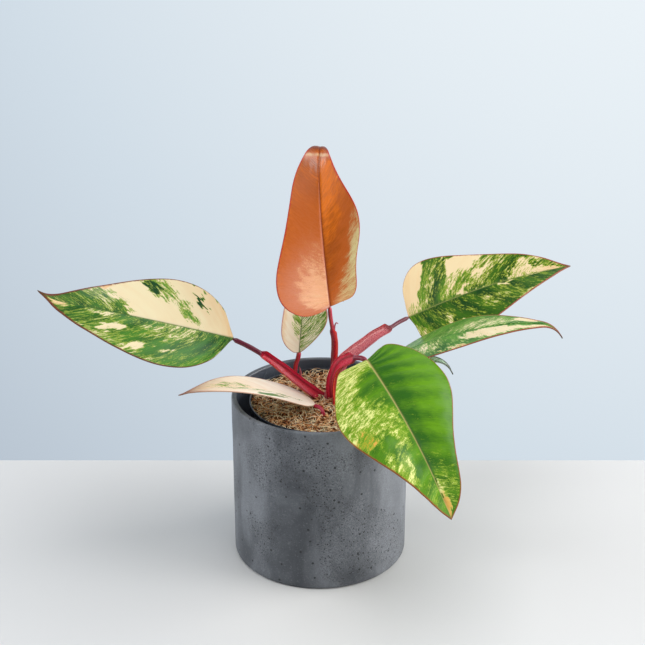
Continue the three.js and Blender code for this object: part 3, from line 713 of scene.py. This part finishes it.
def chips_piece(count, seed):
    """Chips of husk: boxes with tapered ends, turned and tipped by seeded random angles"""
    rng = np.random.default_rng(seed)
    flat = spots(rng, count, NURSERY.lip - NURSERY.wall - 2.5) + NURSERY_AXIS
    size = np.stack([rng.uniform(low, high, count) for low, high in ((.8, 2.6), (.4, 1.1), (.3, .8))], -1)
    local = CHIP * size[:, None] * rng.uniform(.75, 1.2, (count, len(CHIP), 3))
    yaw = rng.uniform(0, TURN, count)
    pitch = rng.normal(0, .45, count)
    cy, sy, cp, sp = np.cos(yaw), np.sin(yaw), np.cos(pitch), np.sin(pitch)
    one, zero = np.ones(count), np.zeros(count)
    turn = np.array([[cy, -sy, zero], [sy, cy, zero], [zero, zero, one]])
    tip = np.array([[cp, zero, sp], [zero, one, zero], [-sp, zero, cp]])
    height = mix_height(flat[:, 0], flat[:, 1]) + rng.uniform(-.3, 1, count)
    points = np.einsum("ijn,jkn,nvk->nvi", turn, tip, local)
    points = points + np.concatenate([flat, height[:, None]], -1)[:, None]
    quads = repeated(np.concatenate([ring_faces(3, 4), [[3, 2, 1, 0], [8, 9, 10, 11]]]), count, len(CHIP))
    value = np.clip(rng.normal(.35, .25, count), 0, 1)
    piece("coir_chips", points.reshape(-1, 3), [quads], coir_strand_finish, [],
          {"shade": np.repeat(value, len(CHIP))}, sleek=False)


# Stalks


def curve_points(path, steps):
    """A centripetal Catmull-Rom curve through the path, at points evenly spaced along it: each
    stretch is a cubic whose end slopes follow the neighbours, spaced by the root of their
    distances. Gives the points, the directions there and the length."""
    p = np.array(path, float)
    p = np.concatenate([[2 * p[0] - p[1]], p, [2 * p[-1] - p[-2]]])
    before, first, last, after = p[:-3], p[1:-2], p[2:-1], p[3:]
    gap = np.sqrt(np.linalg.norm(np.diff(p, axis=0), axis=1))[:, None]
    a, b, c = gap[:-2], gap[1:-1], gap[2:]
    leave = ((first - before) / a - (last - before) / (a + b) + (last - first) / b) * b
    arrive = ((last - first) / b - (after - first) / (b + c) + (after - last) / c) * b
    t = np.linspace(0, 1, 60, endpoint=False)[None, :, None]
    cubic = (first[:, None] + leave[:, None] * t
             + (3 * (last - first) - 2 * leave - arrive)[:, None] * t ** 2
             + (2 * (first - last) + leave + arrive)[:, None] * t ** 3)
    dense = np.concatenate([cubic.reshape(-1, 3), p[-2][None]])
    far = np.concatenate([[0], np.cumsum(np.linalg.norm(np.diff(dense, axis=0), axis=1))])
    at = np.linspace(0, far[-1], steps + 1)
    points = np.stack([np.interp(at, far, dense[:, k]) for k in range(3)], -1)
    return points, unit(np.gradient(points, axis=0)), far[-1]


def swept(centres, along, opens, out, up):
    """Rings of points: out is the offset to the side and up the offset to the open side, one row
    for each centre"""
    facing = np.array(opens, float)
    facing = unit(facing - (along @ facing)[:, None] * along)
    side = np.cross(along, facing)
    return centres[:, None] + side[:, None] * out[..., None] + facing[:, None] * up[..., None]


def skinned(rings, spot, around, lengthwise, dusk=0.0, pale=0.0):
    """A closed tube of the rings, and what the stalk skin reads at each point. spot is the place
    that its streaks are worked out from. The two end points take the values of the end rings."""
    points, faces = closed_tube(rings)
    shape = rings.shape[:2]
    values = {"around": around, "lengthwise": lengthwise, "dusk": dusk, "pale": pale}
    values = {key: np.broadcast_to(value, shape).ravel() for key, value in values.items()}
    values["spot"] = np.stack([np.broadcast_to(value, shape) for value in spot], -1).reshape(-1, 3)
    values = {key: np.concatenate([value, value[[0, -1]]]) for key, value in values.items()}
    return points, faces, values


def stalk_mesh(name):
    """A channel that is open on one side up to the end of its sheath, and round from there. In
    section it is an ellipse whose upper half is pressed in, with both rims raised by the fourth
    power of the cosine. Fine ribs run along it, the rims flare a little where the sheath ends, and
    the top end tapers under the blade."""
    s, leaf = STALKS[name], LEAVES[name]
    ahead, _, upward = leaf_frame(leaf, np.array([0.0]))
    end = np.array(leaf.base) + .8 * ahead[0] - .6 * upward[0]
    centres, along, length = curve_points([*s.path, end], STALK_STEPS)
    t = np.linspace(0, 1, STALK_STEPS + 1)[:, None]
    angle = (np.arange(STALK_SIDES) * TURN / STALK_SIDES)[None]
    channel = 1 - smooth(0, 1, (t - s.sheath) / SHEATH_END + .5)
    kept = (1 - s.slim * np.minimum(1, t / s.sheath) ** 2) * channel
    wide = s.radius + (s.half - s.radius) * kept
    deep = s.radius + (s.depth - s.radius) * kept
    hollow = s.radius - (s.hollow + s.radius) * channel
    upper = np.sin(angle) > 0
    reach = np.where(upper, hollow, deep)
    flare = 1 + .45 * bell((t - s.sheath + .03) / .035)
    rim = s.rims * channel * np.cos(angle) ** 4 * flare
    ribs = .07 * np.cos(11 * angle + 2 * np.sin(5 * t)) * np.where(upper, .5, 1)
    wander = 1 + .03 * np.sin(17 * t + angle) + .02 * np.sin(41 * t - 2 * angle)
    blunt = 1 - .6 * smooth(.965, 1, t)
    out = (wide * wander + ribs) * np.cos(angle) * blunt
    up = (reach * wander + ribs * np.sign(reach)) * np.sin(angle) * blunt + rim
    around = .62 + np.where(upper, .38, -.62) * np.abs(np.sin(angle))
    return skinned(swept(centres, along, s.opens, out, up), (angle * s.half, t * length, len(name)),
                   around, t, (1 - channel) * DUSK[name], 1.0 if name == "right" else 0.0)


def tapered(path, radius, tip, steps=30, sides=20):
    """A round tube whose radius goes evenly from radius to tip"""
    centres, along, length = curve_points(path, steps)
    t = np.linspace(0, 1, steps + 1)[:, None]
    angle = (np.arange(sides) * TURN / sides)[None]
    wide = radius + (tip - radius) * t
    rings = swept(centres, along, [0, 1, .2], wide * np.cos(angle), wide * np.sin(angle))
    points, faces, values = skinned(rings, (angle, t * length, 0), .6, .4 + .6 * t, t * .2)
    return points, turned_over(faces), values


def stalk_piece(name):
    points, faces, values = stalk_mesh(name)
    parts = [(points, turned_over(faces), values)]
    if name in TIPS:
        parts.append(tapered(**TIPS[name]))
    points, faces, values = joined(*parts)
    piece("red_stalk_" + name, points, faces, stalk_finish, ["stalk_" + name], values)


def stem_piece():
    """The stem's profile, rounded at its ends and turned about its axis with a slow waviness, and
    the bud"""
    height = np.linspace(STEM[0, 1] - 1, STEM[-1, 1] + .5, STEM_STEPS)
    radius = np.interp(height, STEM[:, 1], STEM[:, 0]) * smooth(0, 1.2, height - height[0] + .05)
    radius = radius * smooth(0, 1.2, height[-1] - height + .05)
    rings = turned_points(np.stack([radius, height], -1), STEM_SIDES, STEM_AXIS)
    out = unit(rings - [*STEM_AXIS, 0]) * [1, 1, 0]
    rings = rings + out * (waves(rings, 5, 21) * .35 + waves(rings, 2, 22) * .15)[..., None]
    t = np.linspace(0, .5, STEM_STEPS)[:, None]
    stem = skinned(rings, (np.arange(STEM_SIDES) * .8, t * 60, 0), .25, t)
    points, faces, values = joined(stem, tapered(**BUD))
    piece("stem_and_bud", points, faces, stalk_finish, ["stem"], values)


# Leaf blades


def leaf_frame(leaf, t):
    """Direction of the midrib, the way across to the left, and up from the blade, at shares t of
    the length: pitch, heading and roll change smoothly along it"""
    c = np.clip(t, 0, 1)
    hooked = np.maximum(0, (c - leaf.hook_from) / (1 - leaf.hook_from))
    pitch = np.radians(leaf.rise - leaf.droop * c ** leaf.bend - leaf.hook * hooked)
    turn = np.radians(leaf.heading + leaf.sway * c)
    roll = np.radians(leaf.roll + leaf.twist * c)[..., None]
    along = np.stack([np.cos(pitch) * np.cos(turn), np.cos(pitch) * np.sin(turn), np.sin(pitch)], -1)
    level = np.stack([-np.sin(turn), np.cos(turn), 0 * turn], -1)
    upright = np.cross(along, level)
    across = level * np.cos(roll) + upright * np.sin(roll)
    return along, across, upright * np.cos(roll) - level * np.sin(roll)


def midrib_at(leaf, t, steps=80):
    """Points of the midrib, summed up from short steps along its direction"""
    share = np.linspace(0, 1, steps + 1)
    along, _, _ = leaf_frame(leaf, share)
    run = (along[1:] + along[:-1]) / 2 * leaf.length / steps
    line = np.concatenate([[[0, 0, 0]], np.cumsum(run, 0)]) + np.array(leaf.base)
    inner = np.clip(t, 0, 1)
    points = np.stack([np.interp(inner, share, line[:, k]) for k in range(3)], -1)
    return points + np.minimum(t, 0)[..., None] * leaf.length * along[0]


def half_outline(full, h, u):
    """The outline of one half at u: a Catmull-Rom curve through the table's rows, after the base
    lobe, the fullness and the lean are put into them, with a slow ripple of its width"""
    table = OUTLINE.copy()
    table[:, 0] = np.where(table[:, 0] < 0, table[:, 0] * h.lobe, table[:, 0])
    table[FRONT_LOBES:, 1] **= full
    table[:, 0] += h.lean * table[:, 1]
    rows = np.concatenate([[2 * table[0] - table[1]], table, [2 * table[-1] - table[-2]]])
    last = len(table) - 1
    at = np.clip(u * last, 0, last - 1e-9)
    i = at.astype(int)
    f = (at - i)[..., None]
    p, q, r, s = rows[i], rows[i + 1], rows[i + 2], rows[i + 3]
    line = q + .5 * ((r - p) * f + (2 * p - 5 * q + 4 * r - s) * f ** 2 + (3 * q - 3 * r + s - p) * f ** 3)
    line[..., 1] *= 1 + h.ripple * np.sin(TURN * (h.waves * u + h.phase))
    return line


def blade_surface(leaf, u, share):
    """Middle surface of a blade: u counts along the outline from base to tip, share runs from -1 at
    the right margin through 0 at the midrib to 1 at the left margin. A side vein leaves the midrib
    at its root and runs to the outline, and the half folds up and cups about the midrib."""
    point = np.zeros((*u.shape, 3))
    place, width = np.zeros(u.shape), np.zeros(u.shape)
    for side, h in zip((1, -1), leaf.halves):
        here = share * side >= 0
        s = np.abs(share[here])
        line = half_outline(leaf.full, h, u[here])
        x = line[:, 2] + (line[:, 0] - line[:, 2]) * s ** 1.4
        y = np.maximum(h.width * line[:, 1] * s, 0)
        kept = 1 - np.clip((x - leaf.flat_from) / FLATTEN, 0, 1)
        fold = np.radians(h.fold + h.opening * np.clip(x, 0, 1)) * kept
        if h.cup:
            level = (np.sin(fold + h.cup * y) - np.sin(fold)) / h.cup
            lift = (np.cos(fold) - np.cos(fold + h.cup * y)) / h.cup
        else:
            level, lift = y * np.cos(fold), y * np.sin(fold)
        _, across, up = leaf_frame(leaf, x)
        point[here] = midrib_at(leaf, x) + side * across * level[:, None] + up * lift[:, None]
        place[here] = x
        width[here] = h.width * line[:, 1]
    return point, place, width


def surface_normals(point, left):
    """Unit normals of a grid of points, from its two directions, on the side that left names"""
    normal = np.cross(np.gradient(point, axis=1), np.gradient(point, axis=0))
    length = np.linalg.norm(normal, axis=-1, keepdims=True)
    normal = np.where(length > 1e-9, normal / np.maximum(length, 1e-9), left)
    return np.where((normal * left).sum(-1, keepdims=True) < 0, -normal, normal)


def blotches(patches, u, share, base):
    """Adds patches to an even value. A patch is its half of the leaf (left 1, right -1, both 0),
    its middle along u and across, its reach along u and across, its value and how soft its edge
    is. Inside its ellipse, which is bent by waves, the value takes over."""
    value = np.full(u.shape, float(base))
    spot = np.stack([u * 40, share * 5], -1)
    s = np.abs(share) + .1 * waves(spot, 1.5, 41)
    u = u + .014 * waves(spot, 1.6, 42) + .007 * waves(spot, .7, 43)
    for side, u0, s0, reach_u, reach_s, target, soft in patches:
        away = np.hypot((u - u0) / reach_u, (s - s0) / reach_s)
        inside = 1 - smooth(1 - soft, 1 + soft, away)
        if side:
            inside = inside * (share * side > 0)
        value = value + (target - value) * inside
    return value


def crossed(bands, place, value):
    """Lays bands straight across the midrib, each with its middle and reach along it and its value. The bands
    paint the highlight and the shade across a bend of the blade.
    """
    for middle, reach, target in bands:
        value = value + (target - value) * bell((place - middle) / reach)
    return value


def blade_piece(name):
    """Upper and under face on one grid from margin to margin, joined along the margin. The face
    swells between the side veins and has a groove over the midrib, with a ridge under it."""
    leaf, look = LEAVES[name], SimpleNamespace(**{**PLAIN, **LOOKS[name]})
    even = np.linspace(0, 1, BLADE.half_columns + 1)
    across = .45 * (.5 - .5 * np.cos(math.pi * even)) + .55 * even
    shares = np.concatenate([-across[:0:-1], across])
    u, share = np.meshgrid(np.linspace(0, 1, BLADE.rows + 1), shares, indexing="ij")
    point, place, width = blade_surface(leaf, u, share)
    normal = surface_normals(point, leaf_frame(leaf, np.clip(place, 0, 1))[2])
    s = np.abs(share)
    from_midrib = s * width
    drawn = look.veins * u
    swell = np.abs(np.sin(math.pi * drawn)) ** .8 - .6
    fade = smooth(0, .12, s) * (1 - .75 * s ** 3) * within(u, .12, .86)
    relief = look.relief * swell * fade
    groove = -.45 * bell(from_midrib / 1.1) * within(u, .03, .9)
    ridge = BLADE.ridge * (1 - .8 * u) * bell(from_midrib / 1.5) * within(u, .02, .96)
    thick = (BLADE.thick - BLADE.thinning * s ** 2) / 2
    upper = point + normal * (thick + relief + groove)[..., None]
    under = point + normal * (relief - thick - ridge)[..., None]
    points, faces, used = leaf_shell(upper, under)
    channels = {
        "share": crossed(look.bands, place, blotches(look.cream, u, share, look.base)),
        "tone": blotches(look.tone, u, share, look.fresh),
        "warm": blotches(look.warm, u, share, look.blush),
        "sheen": blotches(look.sheen, u, share, .1),
        "rib_relief_and_shade": np.cos(TURN * drawn) * fade,
        "edge": (1 - s) * width,
        "rib_line": bell(from_midrib / np.maximum(look.line * (1 - .75 * u), .15)) * look.line_share,
        "browned": smooth(look.brown_from, look.brown_to, place) * look.brown,
    }
    arrays = {key: np.tile(value.ravel(), 2)[used] for key, value in channels.items()}
    arrays["under"] = np.repeat([0.0, 1.0], u.size)[used]
    spot = np.stack([u * 200, from_midrib, np.where(share < 0, 50, 0) + look.seed * 7.3], -1)
    arrays["spot"] = np.tile(spot.reshape(-1, 3), (2, 1))[used]
    piece("leaf_blade_" + name, points, faces, leaf_skin(name, look), ["blade_" + name], arrays)


def leaf_shell(upper, under):
    """Joins both faces along the margin and at the two ends, where all columns meet in one point.
    Gives the points, the faces and which points of the two grids are kept."""
    rows, columns = upper.shape[:2]
    shift, middle = rows * columns, columns // 2
    index = np.arange(shift).reshape(rows, columns)
    for grid in (upper, under, index):
        grid[0], grid[-1] = grid[0, middle].copy(), grid[-1, middle].copy()
    points = np.concatenate([upper.reshape(-1, 3), under.reshape(-1, 3)])
    body = np.stack([index[1:-2, :-1], index[1:-2, 1:], index[2:-1, 1:], index[2:-1, :-1]], -1).reshape(-1, 4)
    base = np.stack([index[0, :-1], index[1, 1:], index[1, :-1]], -1)
    tip = np.stack([index[-2, :-1], index[-2, 1:], index[-1, :-1]], -1)
    right = np.stack([index[:-1, 0], index[1:, 0], index[1:, 0] + shift, index[:-1, 0] + shift], -1)
    left = np.stack([index[:-1, -1], index[:-1, -1] + shift, index[1:, -1] + shift, index[1:, -1]], -1)
    faces = [body, base, tip, *[part[:, ::-1] + shift for part in (body, base, tip)], right, left]
    used = np.zeros(len(points), bool)
    for part in faces:
        used[part] = True
    number = np.cumsum(used) - 1
    return points[used], turned_over([number[part] for part in faces]), used


# Looks of each leaf: the even share of cream, patches of cream, green tone and warmth, as
# (half, middle along u, middle across, reach along u, reach across, value, softness). PLAIN holds
# what a leaf doesn't name.

# ribs sets how strongly the green takes painted light and shade along the vein relief.
PLAIN = dict(fresh=.4, blush=.1, relief=.22, brown=.9, brown_from=.95, brown_to=1.02, line=.9, line_share=.8,
             ribs=.5, gloss=.34, blend=1, ragged=1, veins=12, cream=[], tone=[], warm=[], sheen=[], bands=[])
LOOKS = {
    "left": dict(
        seed=1, base=.12, fresh=.3, blush=.1, relief=.22, brown_from=.93, gloss=.3, blend=1.9,
        cream=[(-1, .3, .5, .4, 1.3, 1.25, .05), (-1, .58, .95, .12, .2, 1.2, .2),
               (-1, .48, .3, .028, .3, .5, .6), (-1, .5, .75, .045, .35, .46, .6),
               (-1, .405, .64, .009, .2, -.4, .3), (-1, .378, .7, .006, .12, -.1, .4),
               (-1, .53, .82, .018, .08, .1, .5), (-1, .2, 1.02, .12, .07, .3, .4),
               (-1, .35, 1.02, .03, .06, .2, .4), (-1, .7, .5, .05, .5, .22, .5),
               (1, .53, .22, .08, .26, .42, .6), (1, .645, .62, .026, .16, .95, .4),
               (1, .53, .82, .022, .14, .9, .4), (1, .46, .7, .012, .09, .8, .4),
               (1, .73, .2, .04, .14, .5, .5), (1, .88, .4, .05, .4, .85, .5),
               (1, .58, 1.0, .14, .12, .42, .5), (1, .3, .4, .14, .5, .0, .5),
               (1, .2, .86, .05, .16, .45, .5)],
        tone=[(-1, .48, .5, .08, 1, 1.5, .5), (1, .35, .85, .1, .3, .8, .6), (-1, .8, .3, .2, 1, .3, .5),
              (-1, .405, .64, .02, .2, -.3, .4), (-1, .53, .82, .03, .12, -.3, .4),
              (1, .55, .6, .14, .6, .6, .6), (1, .12, .2, .14, .4, .1, .6)],
        warm=[(-1, .15, .5, .2, 1.2, .7, .8), (0, .92, .5, .1, 1, .7, .5),
              (-1, .655, .97, .02, .08, 2.2, .4)],
        sheen=[(1, .42, .55, .09, .35, .9, .8), (-1, .68, .8, .05, .25, .9, .7),
               (1, .6, .1, .15, .2, .6, .8)]),
    "low": dict(
        seed=2, base=1.25, fresh=.5, blush=.12, relief=.12, brown_from=.74, brown=.85, line_share=.3, line=.5,
        cream=[(1, .5, .66, .05, .22, -.1, .4), (1, .68, .25, .12, .3, .5, .6),
               (-1, .72, .3, .1, .4, .6, .6), (1, .55, .12, .2, .12, .5, .5), (1, .2, .95, .1, .1, .7, .5)],
        tone=[(1, .5, .66, .08, .4, .3, .5)],
        warm=[(0, .8, .5, .22, 1.2, .8, .9), (0, .1, .5, .2, 1, .25, .8)]),
    "top": dict(
        seed=3, base=-.08, fresh=.42, blush=0, relief=.25, brown_from=.84, brown_to=.89, brown=.8, line=1.1,
        line_share=.75, ribs=.2, gloss=.22, blend=4, ragged=.35,
        cream=[(1, .34, .35, .26, .75, .95, .95), (1, .42, 1.2, .26, .55, .2, .95),
               (1, .2, 1.2, .1, .45, .3, .9), (-1, .42, 1.1, .17, .5, .98, .95),
               (-1, .22, .6, .2, .7, .74, .95)],
        # These bands paint the light at the fold near the tip: a pale painted highlight across the bend at
        # .83, and painted shade beyond it at .9. The warm patch at .828 tints that painted highlight.
        bands=[(.83, .022, .85), (.9, .045, .1)],
        tone=[(1, .72, .5, .16, 1.2, .3, .8), (-1, .7, .3, .15, .6, 1.05, .9), (-1, .5, .3, .1, .45, .3, .8),
              (-1, .3, .2, .16, .3, -.05, .8), (1, .46, 1, .2, .4, .5, .8), (1, .12, .8, .1, .3, .4, .6)],
        warm=[(-1, .38, .9, .2, .6, 1.1, .8), (0, .828, .5, .05, 1.3, .3, .6)],
        sheen=[(1, .1, .3, .06, .3, 1, .8), (0, .81, .5, .03, 1.3, .8, .7), (1, .35, .4, .2, .4, .3, .8)]),
    "back": dict(
        seed=4, base=.42, fresh=.5, blush=.08, relief=.16, line=.6,
        cream=[(1, .35, .6, .5, .62, 1.25, .15), (1, .62, .25, .2, .3, .4, .5),
               (-1, .3, .95, .2, .12, .2, .5), (-1, .2, .4, .12, .4, .62, .6)],
        tone=[(-1, .4, .5, .3, .6, .4, .5), (-1, .15, .6, .1, .5, .9, .6)],
        warm=[(1, .4, .95, .3, .15, .5, .6)]),
    "right": dict(
        seed=5, base=.04, fresh=.25, blush=.1, relief=.2, line=.8, line_share=.7, blend=1.9,
        cream=[(1, .16, .6, .22, 1.3, 1.3, .06), (1, .26, .1, .12, .2, .6, .6),
               (1, .43, .6, .035, .6, .3, .5), (1, .52, .86, .05, .26, 1.3, .25),
               (1, .53, .4, .04, .3, .52, .6), (1, .62, .5, .06, .9, .36, .5),
               (1, .6, .55, .014, .12, .9, .5), (1, .575, .12, .014, .1, .9, .5),
               (1, .69, .45, .03, .3, .1, .5), (1, .755, .5, .04, .8, .78, .5),
               (1, .77, .72, .018, .12, -.2, .4), (1, .86, .2, .08, .3, .95, .4),
               (1, .84, .8, .07, .2, .34, .5), (-1, .61, .55, .05, .22, .26, .6),
               (-1, .69, .97, .05, .08, .55, .5), (-1, .8, .12, .03, .1, .7, .5),
               (-1, .25, .8, .09, .3, .5, .5), (-1, .46, .45, .02, .12, .5, .5),
               (-1, .7, .15, .02, .1, .6, .5)],
        tone=[(1, .34, .3, .08, .6, .9, .5), (1, .44, .5, .03, .6, .2, .5), (1, .53, .4, .04, .35, .9, .5),
              (1, .68, .45, .04, .35, .1, .5), (-1, .5, .2, .2, .3, .05, .6), (-1, .2, .5, .12, .6, .6, .5)],
        warm=[(1, .1, .6, .22, 1, .55, .8), (0, .95, .5, .1, 1, .8, .6)],
        sheen=[(-1, .4, .3, .12, .3, .2, .8)]),
    "middle": dict(
        seed=6, base=.06, fresh=.5, blush=.15, relief=.3, line=.7, veins=9, brown_from=.84, gloss=.3,
        blend=1.7,
        cream=[(-1, .42, .35, .1, .35, .42, .6), (-1, .67, .5, .09, .34, 1.0, .35),
               (-1, .8, .7, .08, .25, .8, .4), (1, .75, .8, .05, .2, .95, .4), (1, .62, .4, .1, .4, .4, .6),
               (-1, .53, .92, .04, .1, .6, .5)],
        tone=[(1, .75, .4, .12, .5, .1, .5), (-1, .5, .7, .08, .4, .1, .5), (1, .62, .4, .1, .4, .3, .5)],
        warm=[(-1, .55, .97, .1, .1, 1.2, .6), (0, .85, .9, .1, .2, .6, .6)],
        sheen=[(1, .4, .5, .15, .6, .25, .8), (-1, .35, .3, .1, .3, .25, .8)]),
    "front": dict(
        seed=7, base=-.2, fresh=.5, blush=.05, relief=.75, ribs=.62, blend=2.2, ragged=.9, line=1.0,
        line_share=.85, veins=14, gloss=.3, brown_from=.965,
        cream=[(-1, .24, .5, .22, 1.2, .56, .3), (-1, .5, .8, .1, .36, .5, .6),
               (-1, .46, .12, .1, .32, -.2, .5), (-1, .6, .4, .1, .4, .42, .5),
               (-1, .575, .92, .035, .16, .5, .5), (-1, .64, .72, .022, .3, -.2, .4),
               # The small cream patch at .72 and .6 on the right half paints a white highlight, a glint.
               (-1, .72, .6, .02, .12, .6, .5), (-1, .72, .85, .06, .25, .45, .5),
               (-1, .86, .5, .08, .6, .1, .5), (1, .84, .5, .1, .5, .28, .6), (1, .87, .1, .06, .1, .7, .5),
               (1, .945, .2, .06, .28, 1.3, .3)],
        tone=[(1, .3, .3, .3, .45, .15, .8), (1, .6, .08, .3, .2, .05, .6), (1, .5, .8, .25, .4, .85, .8),
              (-1, .46, .14, .1, .34, .4, .5), (1, .85, .6, .12, .7, .2, .6),
              (-1, .64, .72, .03, .3, .4, .5), (-1, .3, .8, .2, .4, .8, .6)],
        warm=[(-1, .6, .86, .035, .2, .9, .6), (1, .95, .2, .08, .35, .75, .5)],
        sheen=[(-1, .7, .55, .05, .2, .8, .8), (1, .62, .95, .14, .15, .9, .8),
               (-1, .1, .5, .1, .5, .4, .8)]),
    "small": dict(
        seed=8, base=.05, fresh=.6, blush=.1, relief=.1, line=.4, brown_from=.78, veins=6, cream=[]),
}

# The whole plant

stalk_finish = stalk_skin()
coir_strand_finish = coir_strand()

cachepot_piece()
nursery_piece()
bed_piece()
strands_piece("coir_strands_long", 1100, (5, 14), (.2, .46), 31, (.7, 2.8), .85)
strands_piece("coir_strands_short", 1900, (2.5, 6), (.24, .55), 32, (-.3, 2.1), .5)
chips_piece(1500, 33)
stem_piece()
for stalk_name in STALKS:
    stalk_piece(stalk_name)
for leaf_name in LEAVES:
    blade_piece(leaf_name)

# Floor, light and camera. The camera is the photograph's: its focal length and the width of the
# frame in pixels, its place, and how far it looks down.

FLOOR = SimpleNamespace(x=1800, front=-1500, back=150)
AIM = (0, 0, 140)
CAMERA = SimpleNamespace(focal=1356, frame=645, sensor=36, place=(2.23, -1037, 651), down=22.94,
                         near=.05, far=50)


def floor_piece():
    p = Paint("floor")
    mesh = bpy.data.meshes.new("floor")
    x, front, back = FLOOR.x * MM, FLOOR.front * MM, FLOOR.back * MM
    mesh.from_pydata([(-x, front, 0), (x, front, 0), (x, back, 0), (-x, back, 0)], [], [(0, 1, 2, 3)])
    mesh.materials.append(p.finish(Base_Color="d7d6d5", Roughness=.6, Specular_IOR_Level=.2))
    floor = new_object("floor", mesh)


def area_light(name, place, size, power, colour=(1, 1, 1)):
    """A square light of a size and place in millimetres, facing the plant"""
    light = bpy.data.lights.new(name, "AREA")
    light.size, light.energy, light.color = size * MM, power, colour
    made = new_object(name, light)
    made.location = [c * MM for c in place]
    away = np.array(place) - np.array(AIM)
    level = math.hypot(away[0], away[1])
    made.rotation_euler = (math.atan2(level, away[2]), 0, math.atan2(away[0], -away[1]))


def camera():
    c = CAMERA
    data = bpy.data.cameras.new("camera")
    data.sensor_width = c.sensor
    data.lens = c.sensor * c.focal / c.frame
    data.clip_start, data.clip_end = c.near, c.far
    made = new_object("camera", data)
    made.location = [k * MM for k in c.place]
    made.rotation_euler = (math.radians(90 - c.down), 0, 0)
    bpy.context.scene.camera = made


def world():
    """An even pale surround that gets brighter along one direction, upwards to the back right, and
    the plain display colours"""
    p = Paint("studio", world=True)
    slope = p.node("VectorMath", {0: p.place("Generated"), 1: (.35, .9, .12)}, operation="DOT_PRODUCT")
    pale = p.ramp(slope.outputs["Value"], (0, "626870"), (.6, "b4c0cd"),
                  (.77, "d1dde7"), (1, "f6fcff"))
    bpy.context.scene.world = p.finish(Color=pale, Strength=1.0)
    bpy.context.scene.view_settings.view_transform = "Standard"


floor_piece()
world()
area_light("key_right", (1700, -100, 640), 1750, 48, (1, .98, .95))
area_light("fill_left", (-1700, 80, 620), 1650, 25, (.95, .98, 1))
area_light("top_soft", (0, -350, 1500), 1100, 11)
camera()
